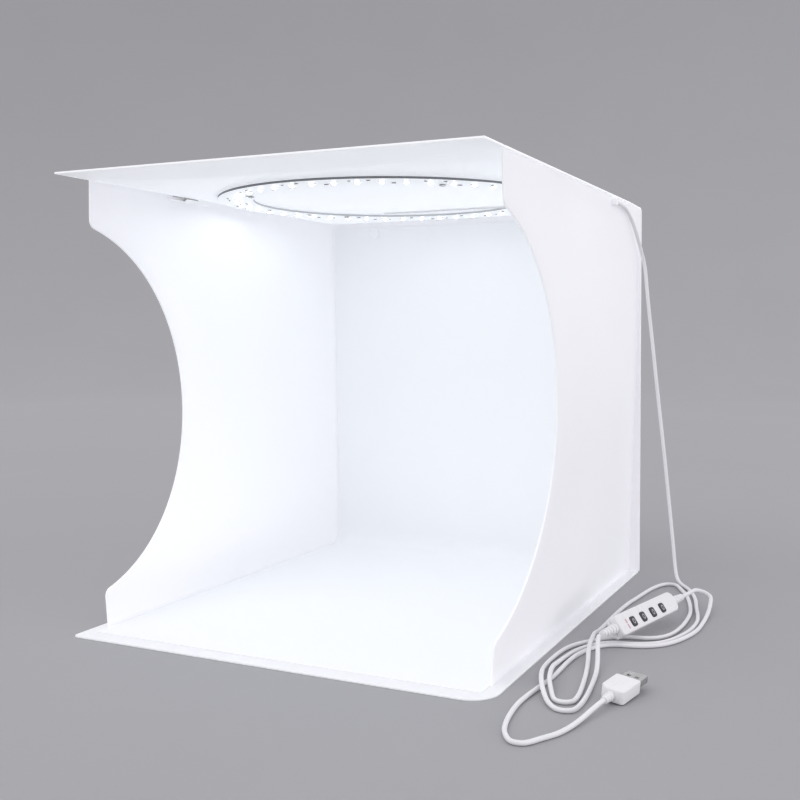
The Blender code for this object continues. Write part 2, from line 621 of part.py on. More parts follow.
def build_gland():
    """Moulded gland: a flange inside, a neck in the wall's notch, and a boss that turns the cable back."""
    face = WALL_TOP_HALF
    low, high = GLAND_Z - GLAND_TALL / 2, GLAND_Z + GLAND_TALL / 2
    half, neck = GLAND_LONG / 2, GLAND_NECK / 2
    boss = boxed((face + CLEAR, GLAND_Y - half, low), (face + CLEAR + GLAND_PROUD, GLAND_Y + half, high))
    gland = add_object("cable_gland", boss, white_plastic("cable_gland"))
    middle = boxed((face - SHEET - WALL_CLEAR - GLAND_FLANGE / 2, GLAND_Y - neck, low + CLEAR),
                   (face + CLEAR + GLAND_PROUD / 2, GLAND_Y + neck, high - CLEAR))
    combine(gland, middle, 'UNION', "gland_neck")
    inner = boxed((face - SHEET - WALL_CLEAR - GLAND_FLANGE, GLAND_Y - half, low + 2 * CLEAR),
                  (face - SHEET - WALL_CLEAR, GLAND_Y + half, high - 2 * CLEAR))
    combine(gland, inner, 'UNION', "gland_flange")
    bevelled(gland, GLAND_ROUND, 1)


def smooth_path(points, step):
    """Dense points along a centripetal curve through the given ones."""
    knots = [Vector(p) for p in points]
    ends = [2 * knots[0] - knots[1]] + knots + [2 * knots[-1] - knots[-2]]
    path = []
    for k in range(1, len(ends) - 2):
        a, b, c, d = ends[k - 1:k + 3]
        t0, t1 = 0.0, (b - a).length ** 0.5
        t2 = t1 + (c - b).length ** 0.5
        t3 = t2 + (d - c).length ** 0.5
        count = max(2, math.ceil((c - b).length / step))
        for i in range(count):
            t = t1 + (t2 - t1) * i / count
            ab = a * ((t1 - t) / (t1 - t0)) + b * ((t - t0) / (t1 - t0))
            bc = b * ((t2 - t) / (t2 - t1)) + c * ((t - t1) / (t2 - t1))
            cd = c * ((t3 - t) / (t3 - t2)) + d * ((t - t2) / (t3 - t2))
            abc = ab * ((t2 - t) / (t2 - t0)) + bc * ((t - t0) / (t2 - t0))
            bcd = bc * ((t3 - t) / (t3 - t1)) + cd * ((t - t1) / (t3 - t1))
            path.append(abc * ((t2 - t) / (t2 - t1)) + bcd * ((t - t1) / (t2 - t1)))
    path.append(knots[-1])
    return path


def thinned(path):
    """Keep a point at each small turn or long run, and one diameter in from each end."""
    lengths = [0.0]
    for a, b in zip(path, path[1:]):
        lengths.append(lengths[-1] + (b - a).length)
    total = lengths[-1]
    kept = [path[0]]
    last, turned_by, straight = 0, 0.0, [CORD_D, total - CORD_D]
    for i in range(1, len(path) - 1):
        turned_by += (path[i] - path[i - 1]).angle(path[i + 1] - path[i], 0.0)
        run = lengths[i] - lengths[last]
        if straight and lengths[i] >= straight[0]:
            straight.pop(0)
        elif turned_by < TURN_STEP and run < LONG_STEP:
            continue
        if total - lengths[i] < CORD_D / 2:
            continue
        kept.append(path[i])
        last, turned_by = i, 0.0
    kept.append(path[-1])
    return kept


def tube(name, points, diameter, resolution):
    """Round tube along points, with filled ends."""
    curve = bpy.data.curves.new(name, 'CURVE')
    curve.dimensions = '3D'
    curve.bevel_depth = diameter / 2
    curve.bevel_resolution = resolution
    curve.use_fill_caps = True
    line = curve.splines.new('POLY')
    line.points.add(len(points) - 1)
    for spot, point in zip(line.points, points):
        spot.co = (*point, 1.0)
    made = bpy.data.objects.new(name, curve)
    bpy.context.scene.collection.objects.link(made)
    curve.materials.append(white_plastic(name))
    return made


def report_gaps(tubes):
    """Print each cable's length, and the least gap between stretches that lie by each other."""
    runs = []
    for name, points in tubes:
        length = sum((b - a).length for a, b in zip(points, points[1:]))
        print(name, "points", len(points), "length %.4f m" % length)
        walked, samples = 0.0, []
        for a, b in zip(points, points[1:]):
            count = max(1, math.ceil((b - a).length / (CORD_D / 4)))
            samples += [(walked + (b - a).length * i / count, a.lerp(b, i / count)) for i in range(count)]
            walked += (b - a).length
        runs.append(samples)
    near_along = 5 * CORD_D
    found = [(float("inf"), None, None)]
    for m, first in enumerate(runs):
        for second in runs[m:]:
            for s, p in first:
                for t, q in second:
                    if first is second and abs(s - t) < near_along:
                        continue
                    gap = (p - q).length_squared
                    if gap < found[0][0]:
                        found[0] = (gap, p, q)
    gap, p, q = found[0]
    print("least gap %.2f mm" % (1000 * (math.sqrt(gap) - CORD_D)), "at", p, q)


def build_cords():
    tubes = []
    for name, route in (("cord_in", ROUTE_IN), ("cord_out", ROUTE_OUT)):
        points = thinned(smooth_path(route, FINE_STEP))
        tube(name, points, CORD_D, 1)
        tubes.append((name, points))
    report_gaps(tubes)


def control_frame():
    """Control's own axes: X towards its far end, Z out of its button face, origin at its middle."""
    turn = Euler((CONTROL_ROLL, -CONTROL_PITCH, CONTROL_HEADING), 'XYZ').to_matrix().to_4x4()
    down = Matrix.Translation((0, 0, -CONTROL_TALL / 2))
    return Matrix.Translation(CONTROL_AT) @ turn @ down


def shell_half(low, high, open_low):
    """Half of the control's case: rounded block, as a bmesh, and the room inside it."""
    long_half, wide_half = CONTROL_LONG / 2, CONTROL_WIDE / 2
    body = boxed((-long_half, -wide_half, low), (long_half, wide_half, high))
    round_upright_edges(body, CONTROL_CORNER, 4)
    wall = CONTROL_WALL
    room_low = low - OVERRUN if open_low else low + wall
    room_high = high - wall if open_low else high + OVERRUN
    room = boxed((-long_half + wall, -wide_half + wall, room_low),
                 (long_half - wall, wide_half - wall, room_high))
    round_upright_edges(room, CONTROL_CORNER - wall, 3)
    return body, room


def button_x(k):
    return BUTTON_SHIFT + BUTTON_PITCH * (k - (BUTTONS - 1) / 2)


def build_control():
    frame = control_frame()
    half = CONTROL_TALL / 2
    split = -half + CONTROL_BASE
    under_roof = half - CONTROL_WALL
    body, room = shell_half(split + CLEAR / 2, half, True)
    top = add_object("control_top", move(body, frame), white_plastic("control_top"), math.radians(30))
    combine(top, move(room, frame), 'DIFFERENCE', "control_top_room")
    for k in range(BUTTONS):
        reach_x, reach_y = BUTTON_LONG / 2 + CLEAR, BUTTON_WIDE / 2 + CLEAR
        window = boxed((button_x(k) - reach_x, BUTTON_ROW - reach_y, under_roof - OVERRUN),
                       (button_x(k) + reach_x, BUTTON_ROW + reach_y, half + OVERRUN))
        round_upright_edges(window, BUTTON_ROUND + CLEAR, 2)
        combine(top, move(window, frame), 'DIFFERENCE', "button_window_%d" % (k + 1))
    body, room = shell_half(-half, split - CLEAR / 2, False)
    base = add_object("control_base", move(body, frame), white_plastic("control_base"), math.radians(30))
    combine(base, move(room, frame), 'DIFFERENCE', "control_base_room")
    build_circuit(frame, under_roof)
    for k in range(BUTTONS):
        build_button(k, frame, under_roof)


def build_circuit(frame, under_roof):
    """Circuit board under the buttons, with a switch below each, on two bosses of the base."""
    stem_end = under_roof - CLEAR - BUTTON_FLANGE - BUTTON_LIP
    switch_top = stem_end - BUTTON_TRAVEL - CLEAR
    board_top = switch_top - SWITCH_TALL
    long_half = CONTROL_LONG / 2 - CONTROL_WALL - CIRCUIT_END_GAP
    wide_half = CONTROL_WIDE / 2 - CONTROL_WALL - 2 * CLEAR
    board = add_object("control_circuit", move(boxed((-long_half, -wide_half, board_top - CIRCUIT),
                                                     (long_half, wide_half, board_top)), frame),
                       material("control_circuit", (0.05, 0.22, 0.12), 0.5))
    for k in range(BUTTONS):
        side = SWITCH_SIDE / 2
        switch = boxed((button_x(k) - side, BUTTON_ROW - side, board_top - CIRCUIT / 2),
                       (button_x(k) + side, BUTTON_ROW + side, switch_top))
        combine(board, move(switch, frame), 'UNION', "switch_%d" % (k + 1))
    base = bpy.data.objects["control_base"]
    floor = -CONTROL_TALL / 2 + CONTROL_WALL
    for side in (-1, 1):
        x = side * (long_half - CIRCUIT_END_GAP)
        boss = boxed((x - CIRCUIT, -wide_half, floor - CONTROL_WALL / 2),
                     (x + CIRCUIT, wide_half, board_top - CIRCUIT - CLEAR))
        combine(base, move(boss, frame), 'UNION', "boss_near" if side < 0 else "boss_far")


def build_button(k, frame, under_roof):
    """Key cap with a lip under the case, and a stem over its switch."""
    crown = CONTROL_TALL / 2 + BUTTON_PROUD
    lip_top = under_roof - CLEAR
    lip_low = lip_top - BUTTON_FLANGE
    half_x, half_y = BUTTON_LONG / 2, BUTTON_WIDE / 2
    x = button_x(k)
    cap = boxed((x - half_x, BUTTON_ROW - half_y, lip_low + BUTTON_FLANGE / 2),
                (x + half_x, BUTTON_ROW + half_y, crown))
    round_upright_edges(cap, BUTTON_ROUND, 3)
    name = "button_%d" % (k + 1)
    key = add_object(name, move(cap, frame), material(name, (0.10, 0.10, 0.12), 0.5), math.radians(30))
    lip = boxed((x - half_x - BUTTON_LIP, BUTTON_ROW - half_y - BUTTON_LIP, lip_low),
                (x + half_x + BUTTON_LIP, BUTTON_ROW + half_y + BUTTON_LIP, lip_top))
    combine(key, move(lip, frame), 'UNION', name + "_lip")
    stem = boxed((x - BUTTON_STEM / 2, BUTTON_ROW - BUTTON_STEM / 2, lip_low - BUTTON_LIP),
                 (x + BUTTON_STEM / 2, BUTTON_ROW + BUTTON_STEM / 2, lip_low + BUTTON_FLANGE / 2))
    combine(key, move(stem, frame), 'UNION', name + "_stem")


def relief_profile():
    """Tapered cone with grooves, from its root at z = 0 to its tip."""
    profile = [(0, 0)]
    for k in range(RELIEF_RIBS):
        for share in (0.0, 0.55, 0.62, 0.93):
            along = (k + share) / RELIEF_RIBS
            radius = RELIEF_ROOT_R + (RELIEF_TIP_R - RELIEF_ROOT_R) * along
            sunk = RELIEF_GROOVE if share > 0.6 and k < RELIEF_RIBS - 1 else 0
            profile.append((radius - sunk, RELIEF_LONG * along))
    return profile + [(RELIEF_TIP_R, RELIEF_LONG), (0, RELIEF_LONG)]


def build_reliefs():
    frame = control_frame()
    root = CONTROL_LONG / 2 + CLEAR
    for side, word in ((-1, "in"), (1, "out")):
        lay = frame @ Matrix.Translation((side * root, 0, 0)) @ Matrix.Rotation(side * math.pi / 2, 4, 'Y')
        name = "relief_" + word
        add_object(name, move(turned(relief_profile(), 12), lay), white_plastic(name), math.radians(30))


def plug_frame():
    """Plug's own axes: X towards its tip, Z out of its top, origin at the middle of its grip."""
    turn = Euler((PLUG_ROLL, -PLUG_PITCH, PLUG_HEADING), 'XYZ').to_matrix().to_4x4()
    return Matrix.Translation(PLUG_AT) @ turn


def build_plug():
    frame = plug_frame()
    nose, tail = GRIP_LONG / 2, -GRIP_LONG / 2
    wide, cut = GRIP_WIDE / 2, GRIP_SHOULDER
    outline = [(nose, wide), (tail + cut, wide), (tail, wide - cut), (tail, cut - wide),
               (tail + cut, -wide), (nose, -wide)]
    grip = add_object("plug_grip", move(prism(outline, -GRIP_TALL / 2, GRIP_TALL / 2), frame),
                      white_plastic("plug_grip"), math.radians(30))
    bevelled(grip, GRIP_EDGE, 2)
    stub = turned([(0, 0), (STUB_R, 0), (STUB_R, STUB_LONG * 0.7), (STUB_R - CLEAR, STUB_LONG),
                   (0, STUB_LONG)], 12)
    lay = frame @ Matrix.Translation((tail - CLEAR, 0, 0)) @ Matrix.Rotation(-math.pi / 2, 4, 'Y')
    add_object("plug_relief", move(stub, lay), white_plastic("plug_relief"), math.radians(30))
    wide, tall, start = SHELL_WIDE / 2, SHELL_TALL / 2, nose + CLEAR
    shell = boxed((-wide, -tall, start), (wide, tall, start + SHELL_LONG))
    round_upright_edges(shell, SHELL_ROUND, 2)
    shell = add_object("plug_shell", move(move(shell, sideways()), frame), steel("plug_shell"),
                       math.radians(30))
    thin = SHELL_WALL
    bore = boxed((start - OVERRUN, thin - wide, thin - tall), (start + SHELL_LONG + OVERRUN, wide - thin, tall - thin))
    combine(shell, move(bore, frame), 'DIFFERENCE', "shell_bore")
    for side in (-1, 1):
        x, y, reach = start + LATCH_REACH, side * LATCH_SPACING / 2, LATCH_SIDE / 2
        latch = boxed((x - reach, y - reach, -tall - OVERRUN), (x + reach, y + reach, tall + OVERRUN))
        combine(shell, move(latch, frame), 'DIFFERENCE', "latch_left" if side < 0 else "latch_right")
    room = thin + CLEAR
    tongue = boxed((start, room - wide, room - tall), (start + TONGUE_LONG, wide - room, room - tall + TONGUE_TALL))
    add_object("plug_tongue", move(tongue, frame), white_plastic("plug_tongue"))


def main():
    clear_scene()
    build_panels()
    build_walls()
    build_backdrop()
    build_ring()
    build_lead()
    build_gland()
    build_cords()
    build_control()
    build_reliefs()
    build_plug()


main()
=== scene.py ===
"""Looks of the photo light tent: frosted sheets, ring of lights, backdrop, cable and hand control."""
import json
import math

import bmesh
import bpy
from mathutils import Euler, Matrix, Vector

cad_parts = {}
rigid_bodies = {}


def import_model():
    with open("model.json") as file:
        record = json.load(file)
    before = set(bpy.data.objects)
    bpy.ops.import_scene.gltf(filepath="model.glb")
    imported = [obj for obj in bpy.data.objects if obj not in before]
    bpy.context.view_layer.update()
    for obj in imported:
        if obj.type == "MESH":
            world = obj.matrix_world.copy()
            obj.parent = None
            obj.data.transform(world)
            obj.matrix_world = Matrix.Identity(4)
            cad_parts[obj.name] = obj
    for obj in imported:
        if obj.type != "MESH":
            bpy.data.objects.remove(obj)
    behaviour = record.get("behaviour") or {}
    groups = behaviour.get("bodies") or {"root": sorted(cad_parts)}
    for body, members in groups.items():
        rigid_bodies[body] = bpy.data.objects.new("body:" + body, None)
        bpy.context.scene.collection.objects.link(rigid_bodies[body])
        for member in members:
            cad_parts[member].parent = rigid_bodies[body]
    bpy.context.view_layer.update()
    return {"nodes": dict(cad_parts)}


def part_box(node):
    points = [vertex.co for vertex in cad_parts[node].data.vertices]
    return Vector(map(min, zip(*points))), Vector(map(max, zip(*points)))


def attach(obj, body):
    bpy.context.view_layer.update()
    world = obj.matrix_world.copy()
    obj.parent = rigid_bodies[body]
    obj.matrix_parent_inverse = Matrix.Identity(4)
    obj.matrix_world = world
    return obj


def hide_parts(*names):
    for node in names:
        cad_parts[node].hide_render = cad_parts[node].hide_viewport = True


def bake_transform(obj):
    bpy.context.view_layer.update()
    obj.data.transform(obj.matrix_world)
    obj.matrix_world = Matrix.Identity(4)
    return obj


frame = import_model()
NODES = frame["nodes"]
MM = 0.001

# Sheets, in metres: the part's sizes, with the small changes that only the scene has
SHEET = 1.2 * MM
HEIGHT = 300.0 * MM
ROOF_LOW = HEIGHT - SHEET
ROOF_HALF = 143.5 * MM
REAR_Y = 176.75 * MM
FRONT_Y = -178.25 * MM
CREASE_Y = -149.75 * MM
WALL_FRONT_Y = -148.75 * MM
WALL_REAR_Y = 174.65 * MM
WALL_LOW = 1.35 * MM
WALL_HIGH = 298.65 * MM
WALL_HALF = 142.5 * MM
WALL_LEAN = 3.2 * MM
WALL_BOW = 4.8 * MM
SCOOP_LOW = 26.6 * MM
SCOOP_HIGH = 269.0 * MM
SCOOP_DEPTH = 96.0 * MM
SCOOP_CORNER = 6.0 * MM
BACK_LOW_HALF = 148.4 * MM
BACK_TOP_HALF = 142.0 * MM
CREASE_SAG = 5.2 * MM
PAN_SAG = 3.3 * MM
PAN_SIDE = 21 * MM
PAN_REAR = 48 * MM
PAN_FRONT = 27 * MM
SAG_END_Y = -60 * MM
ROOF_MID_Y = -110 * MM
ROOF_CORNER = 3 * MM
ROOF_TAPER_Y = 130 * MM
ROOF_TAPER = 40 * MM
CREASE_GROOVE = 0.24 * MM
CREASE_WIDE = 0.8 * MM
RIM = 0.28 * MM
FLOOR_HALF = 147.2 * MM
FLOOR_FRONT_Y = -173.75 * MM
FLOOR_CORNERS = ((-1, 4 * MM), (1, 18 * MM))

# Openings near the top of the walls
CUT_IN = 137 * MM
CUT_OUT = 148 * MM
SLOT_FRONT_Y = -63 * MM
SLOT_REAR_Y = -35 * MM
SLOT_LOW = 297.6 * MM
SLOT_HIGH = 302 * MM
RELIEF_R = 0.85 * MM
RELIEF_AT = (0, -66.7 * MM, 296.6 * MM)
GLAND_HOLE_HALF = 1.9 * MM
GLAND_HOLE_RIM = 0.2 * MM

# Tab folded in from each wall, and its press stud
TAB_FRONT_Y = -66 * MM
TAB_LONG = 30 * MM
TAB_REACH = 14.5 * MM
TAB_FLAT = 12.2 * MM
TAB_LIP = 1.9 * MM
TAB_DROP = 3.9 * MM
TAB_THICK = 0.9 * MM
TAB_GAP = 0.2 * MM
TAB_RIM = 0.2 * MM

# Backdrop
BACKDROP_LOW = 1.3 * MM
BACKDROP_BACK = 175.25 * MM
BACKDROP_OUT = 13 * MM
BACKDROP_TOP_GAP = 5 * MM
BACKDROP_SWEEP = 14 * MM
BACKDROP_THICK = 0.55 * MM
BACKDROP_SIDE_GAP = 0.1 * MM
BACKDROP_WAVE = 0.12 * MM
BACKDROP_RIM = 0.2 * MM
STUD_HOLE_R = 2.1 * MM
STUD_HOLE_PAST = 3 * MM
STUD_FACE_Y = 174.15 * MM
CAP_GAP = 0.3 * MM

# Ring of lights
RING_Y = 2.5 * MM
RING_OUTER = 121.5 * MM
RING_INNER = 96.5 * MM
RING_FACE = 293.3 * MM
BOARD = 1.4 * MM
LIGHTS = 45
LIGHT_PITCH = 2 * math.pi / LIGHTS
LIGHT_TURN = math.radians(6.0)
LIGHT_R = 109.0 * MM
CHIPS = 15
CHIP_R = 103.5 * MM
BOARD_CHAMFER = 0.15 * MM
BACKING_GAP = 0.04 * MM
BACKING_TOP = 0.72 * MM
BACKING_INSET = 0.2 * MM
SCREWS = 4
SCREW_HOLE_R = 1.5 * MM
SCREW_HOLE_LOW = 290 * MM
SCREW_HOLE_HIGH = 304 * MM

# Cable, hand control and plug
CORD_D = 2.8 * MM
CONTROL_LONG = 78.0 * MM
CONTROL_WIDE = 14.2 * MM
CONTROL_TALL = 8.4 * MM
CONTROL_AT = (0.19495, -0.00105, 0.01520)
CONTROL_TURN = Euler((math.radians(52.8), math.radians(-1.5), math.radians(74.7)), 'XYZ')
PLUG_AT = (0.2087, -0.1335, 0.00560)
PLUG_TURN = Euler((math.radians(6.0), math.radians(-3.0), math.radians(78.0)), 'XYZ')
RELIEF_LONG = 16.0 * MM
CASE_NEAR_R = 2.4 * MM
CASE_FAR_R = 5.6 * MM
CASE_SKIN = 1.2 * MM
CASE_SPLIT = 3.0 * MM
CASE_SEAM = 0.12 * MM
CASE_ROUND = 0.9 * MM
KEYS = 4
KEY_PITCH = 13.2 * MM
KEY_SHIFT = -2.2 * MM
KEY_HALF = 2.8 * MM
KEY_NEAR_Y = -4.5 * MM
KEY_FAR_Y = 1.9 * MM
KEY_FOOT = 2.6 * MM
KEY_PROUD = 0.6 * MM
KEY_CORNER = 1.2 * MM
KEY_GAP = 0.3 * MM
KEY_LIP = 0.9 * MM
KEY_LIP_FOOT = 2.2 * MM
KEY_LIP_TOP = 1.5 * MM
WINDOW_FOOT = 2.4 * MM
MARK_SUNK = 0.04 * MM
DASH_X = -29.4 * MM
DASH_ROWS = (-3.1 * MM, 0.7 * MM)
DASH_SIZE = (1.3 * MM, 3.1 * MM, 0.1 * MM)
GRIP_END = 10.75 * MM
GRIP_HALF = 7.5 * MM
GRIP_TALL = 4.0 * MM
GRIP_CUT = 3.6 * MM
GRIP_SMALL_CUT = 1.4 * MM
GRIP_ROUND = 1.1 * MM
SHELL_LONG = 12 * MM
SHELL_HALF = 6.0 * MM
SHELL_TALL_HALF = 2.25 * MM
SHELL_CORNER = 0.7 * MM
SHELL_WALL = 0.4 * MM
BORE_CORNER = 0.4 * MM
LATCH_START = 4.1 * MM
LATCH_HOLE = 2.2 * MM
LATCH_Y = 2.5 * MM
LATCH_CUT = 4 * MM
STRIP_ROWS = (-3.5 * MM, -1.0 * MM, 1.0 * MM, 3.5 * MM)
STRIP_X = 5.6 * MM
STRIP_Z = 0.26 * MM
STRIP_SIZE = (7.4 * MM, 1.0 * MM, 0.12 * MM)
JOIN = 0.3 * MM

# Gland in the right wall, and the wires under the roof
BOSS_X = 142.6 * MM
BOSS_INSET = 0.2 * MM
BOSS_ROUND = 1.1 * MM
NECK_IN = 139.8 * MM
NECK_OUT = 144 * MM
NECK_HALF = 1.8 * MM
NECK_INSET = 0.3 * MM
FLANGE_THICK = 1.5 * MM
FLANGE_INSET = 0.6 * MM
LEAD_D = 1.9 * MM
LEAD_WAVE = 0.3 * MM
BRIDGE_D = 1.3 * MM
BRIDGE_FROM = -40 * MM
BRIDGE_TO = 64 * MM
BRIDGE_Y = 75.6 * MM
BRIDGE_Z = 294.4 * MM
BRIDGE_WAVE = 1.2 * MM
CLIPS = 2
CLIP_ROUND = 0.4 * MM
CLIP_BORE_R = 1.2 * MM
CLIP_BORE_LONG = 12 * MM
CLIP_BORE_PAST = 2 * MM

# Camera, fitted to the corners of the tent in the photo, and the studio round it
CAMERA_AT = (0.3430, -0.69165, 0.2021)
CAMERA_DOWN = math.radians(6.867)
CAMERA_TURN = math.radians(25.705)
LENS = 47.40
LENS_SHIFT = 0.07125
FLOOR_REACH = 2.4
FLOOR_RISE = 1.6
FLOOR_TOP = 6.0
FLOOR_SIDES = 96
AIR_COLOUR = (0.965, 0.955, 1.0, 1)
AIR_STRENGTH = 0.86
SUN_STRENGTH = 0.42
SUN_WIDTH = math.radians(50)
GLOW_LAMPS = 12
GLOW_Z = 0.2905
GLOW_SIZE = (0.05, 0.05)
GLOW_POWER = 0.0068
GLOW_COLOUR = (0.88, 0.985, 1.0)

# Points along the cable, in metres, the same as the part's own
ROUTE_IN = [
    (0.1446, 0.0844, 0.2945), (0.1446, 0.0900, 0.2945), (0.1446, 0.1010, 0.2942),
    (0.1447, 0.1137, 0.2925), (0.1450, 0.1320, 0.2857), (0.1456, 0.1472, 0.2755),
    (0.1464, 0.1590, 0.2650), (0.1480, 0.1662, 0.2530), (0.1515, 0.1655, 0.2261),
    (0.1565, 0.1670, 0.1862), (0.1615, 0.1686, 0.1459), (0.1670, 0.1690, 0.1052),
    (0.1725, 0.1680, 0.0645), (0.1782, 0.1635, 0.0270), (0.1805, 0.1598, 0.0140),
    (0.1830, 0.1545, 0.0060), (0.1862, 0.1485, 0.0026), (0.1905, 0.1415, 0.0015),
    (0.1970, 0.1300, 0.0015), (0.2028, 0.1160, 0.0015), (0.2082, 0.0985, 0.0015),
    (0.2132, 0.0748, 0.0015), (0.2178, 0.0542, 0.0015), (0.2202, 0.0376, 0.0015),
    (0.2203, 0.0229, 0.0015), (0.2191, 0.0102, 0.0015), (0.2164, -0.0021, 0.0015),
    (0.2127, -0.0134, 0.0015), (0.2069, -0.0237, 0.0015), (0.1986, -0.0305, 0.0015),
    (0.1895, -0.0339, 0.0015), (0.1800, -0.0361, 0.0015), (0.1738, -0.0410, 0.0015),
    (0.1688, -0.0480, 0.0015), (0.1650, -0.0570, 0.0015), (0.1625, -0.0665, 0.0015),
    (0.1612, -0.0780, 0.0016), (0.1610, -0.0934, 0.0026), (0.1622, -0.1070, 0.0044),
    (0.1645, -0.1190, 0.0050), (0.1680, -0.1320, 0.0048), (0.1728, -0.1440, 0.0030),
    (0.1770, -0.1527, 0.0017), (0.1792, -0.1550, 0.0015), (0.1823, -0.1559, 0.0015),
    (0.1853, -0.1551, 0.0015), (0.1875, -0.1529, 0.0015), (0.1882, -0.1493, 0.0015),
    (0.1877, -0.1400, 0.0015), (0.1848, -0.1216, 0.0015), (0.1811, -0.1023, 0.0015),
    (0.1762, -0.0810, 0.0018), (0.1722, -0.0650, 0.0044), (0.1698, -0.0530, 0.0051),
    (0.1680, -0.0420, 0.0050), (0.1664, -0.0300, 0.0046), (0.1654, -0.0170, 0.0026),
    (0.1648, -0.0040, 0.0016), (0.1645, 0.0160, 0.0015), (0.1645, 0.0390, 0.0015),
    (0.1654, 0.0660, 0.0015), (0.1671, 0.0828, 0.0015), (0.1689, 0.1004, 0.0015),
    (0.1710, 0.1174, 0.0015), (0.1738, 0.1295, 0.0015), (0.1765, 0.1364, 0.0015),
    (0.1787, 0.1391, 0.0015), (0.1819, 0.1402, 0.0015), (0.1851, 0.1393, 0.0015),
    (0.1872, 0.1370, 0.0015), (0.1930, 0.1245, 0.0015), (0.1985, 0.1120, 0.0015),
    (0.2040, 0.0945, 0.0015), (0.2090, 0.0740, 0.0015), (0.2118, 0.0577, 0.0015),
    (0.2129, 0.0405, 0.0015), (0.2129, 0.0215, 0.0015), (0.2111, 0.0044, 0.0015),
    (0.2080, -0.0060, 0.0015), (0.2032, -0.0126, 0.0015), (0.1970, -0.0162, 0.0015),
    (0.1900, -0.0180, 0.0015), (0.1835, -0.0198, 0.0015), (0.1775, -0.0235, 0.0015),
    (0.1715, -0.0305, 0.0015), (0.1660, -0.0385, 0.0015), (0.1610, -0.0470, 0.0015),
    (0.1572, -0.0570, 0.0015), (0.1552, -0.0700, 0.0015), (0.1549, -0.0882, 0.0018),
    (0.1565, -0.1040, 0.0030), (0.1592, -0.1180, 0.0046), (0.1628, -0.1310, 0.0052),
    (0.1680, -0.1450, 0.0046), (0.1745, -0.1575, 0.0022), (0.1790, -0.1636, 0.0016),
    (0.1826, -0.1670, 0.0015), (0.1859, -0.1682, 0.0015), (0.1890, -0.1676, 0.0015),
    (0.1915, -0.1656, 0.0015), (0.1926, -0.1622, 0.0015), (0.1929, -0.1500, 0.0015),
    (0.1916, -0.1350, 0.0015), (0.1893, -0.1173, 0.0016), (0.1868, -0.1010, 0.0024),
    (0.1840, -0.0880, 0.0045), (0.1811, -0.0770, 0.0075), (0.1785, -0.0675, 0.0100),
    (0.1768, -0.0600, 0.0110), (0.1763, -0.0572, 0.0111),
]
ROUTE_OUT = [
    (0.2063, 0.0540, 0.0141), (0.2071, 0.0569, 0.0142), (0.2080, 0.0610, 0.0142),
    (0.2093, 0.0680, 0.0141), (0.2101, 0.0748, 0.0138), (0.2108, 0.0806, 0.0133),
    (0.2124, 0.0836, 0.0127), (0.2155, 0.0852, 0.0117), (0.2190, 0.0848, 0.0104),
    (0.2213, 0.0828, 0.0092), (0.2223, 0.0798, 0.0080), (0.2231, 0.0726, 0.0058),
    (0.2237, 0.0650, 0.0043), (0.2241, 0.0550, 0.0028), (0.2243, 0.0430, 0.0018),
    (0.2243, 0.0310, 0.0015), (0.2240, 0.0190, 0.0015), (0.2226, 0.0075, 0.0015),
    (0.2197, -0.0045, 0.0015), (0.2158, -0.0158, 0.0015), (0.2095, -0.0266, 0.0015),
    (0.2003, -0.0342, 0.0015), (0.1905, -0.0378, 0.0015), (0.1815, -0.0402, 0.0015),
    (0.1762, -0.0445, 0.0015), (0.1718, -0.0515, 0.0015), (0.1685, -0.0610, 0.0015),
    (0.1662, -0.0730, 0.0015), (0.1654, -0.0880, 0.0015), (0.1655, -0.1030, 0.0015),
    (0.1656, -0.1150, 0.0015), (0.1650, -0.1270, 0.0015), (0.1638, -0.1400, 0.0015),
    (0.1626, -0.1530, 0.0015), (0.1620, -0.1660, 0.0015), (0.1628, -0.1790, 0.0015),
    (0.1656, -0.1972, 0.0015), (0.1692, -0.2093, 0.0015), (0.1737, -0.2172, 0.0015),
    (0.1761, -0.2197, 0.0015), (0.1792, -0.2205, 0.0015), (0.1823, -0.2197, 0.0015),
    (0.1845, -0.2176, 0.0015), (0.1890, -0.2098, 0.0015), (0.1940, -0.2007, 0.0015),
    (0.1975, -0.1895, 0.0017), (0.2000, -0.1775, 0.0024), (0.2022, -0.1650, 0.0036),
    (0.2040, -0.1560, 0.0045), (0.2047, -0.1528, 0.0047),
]


# Finishes
def new_group(name, inputs, outputs):
    """Shader node group with float or colour sockets, its input and output nodes ready."""
    group = bpy.data.node_groups.new(name, 'ShaderNodeTree')
    for socket, kind, value in inputs:
        made = group.interface.new_socket(name=socket, in_out='INPUT', socket_type=kind)
        if value is not None:
            made.default_value = value
    for socket, kind in outputs:
        group.interface.new_socket(name=socket, in_out='OUTPUT', socket_type=kind)
    return group, group.nodes.new('NodeGroupInput'), group.nodes.new('NodeGroupOutput')


def noise(tree, vector, scale, detail=3.0, roughness=0.55):
    made = tree.nodes.new('ShaderNodeTexNoise')
    made.inputs['Detail'].default_value = detail
    made.inputs['Roughness'].default_value = roughness
    if isinstance(scale, (int, float)):
        made.inputs['Scale'].default_value = scale
    else:
        tree.links.new(scale, made.inputs['Scale'])
    if vector is not None:
        tree.links.new(vector, made.inputs['Vector'])
    return made.outputs['Fac']


def ranged(tree, value, from_low, from_high, to_low, to_high):
    made = tree.nodes.new('ShaderNodeMapRange')
    made.inputs['From Min'].default_value = from_low
    made.inputs['From Max'].default_value = from_high
    for socket, wanted in (('To Min', to_low), ('To Max', to_high)):
        if isinstance(wanted, (int, float)):
            made.inputs[socket].default_value = wanted
        else:
            tree.links.new(wanted, made.inputs[socket])
    tree.links.new(value, made.inputs['Value'])
    return made.outputs['Result']


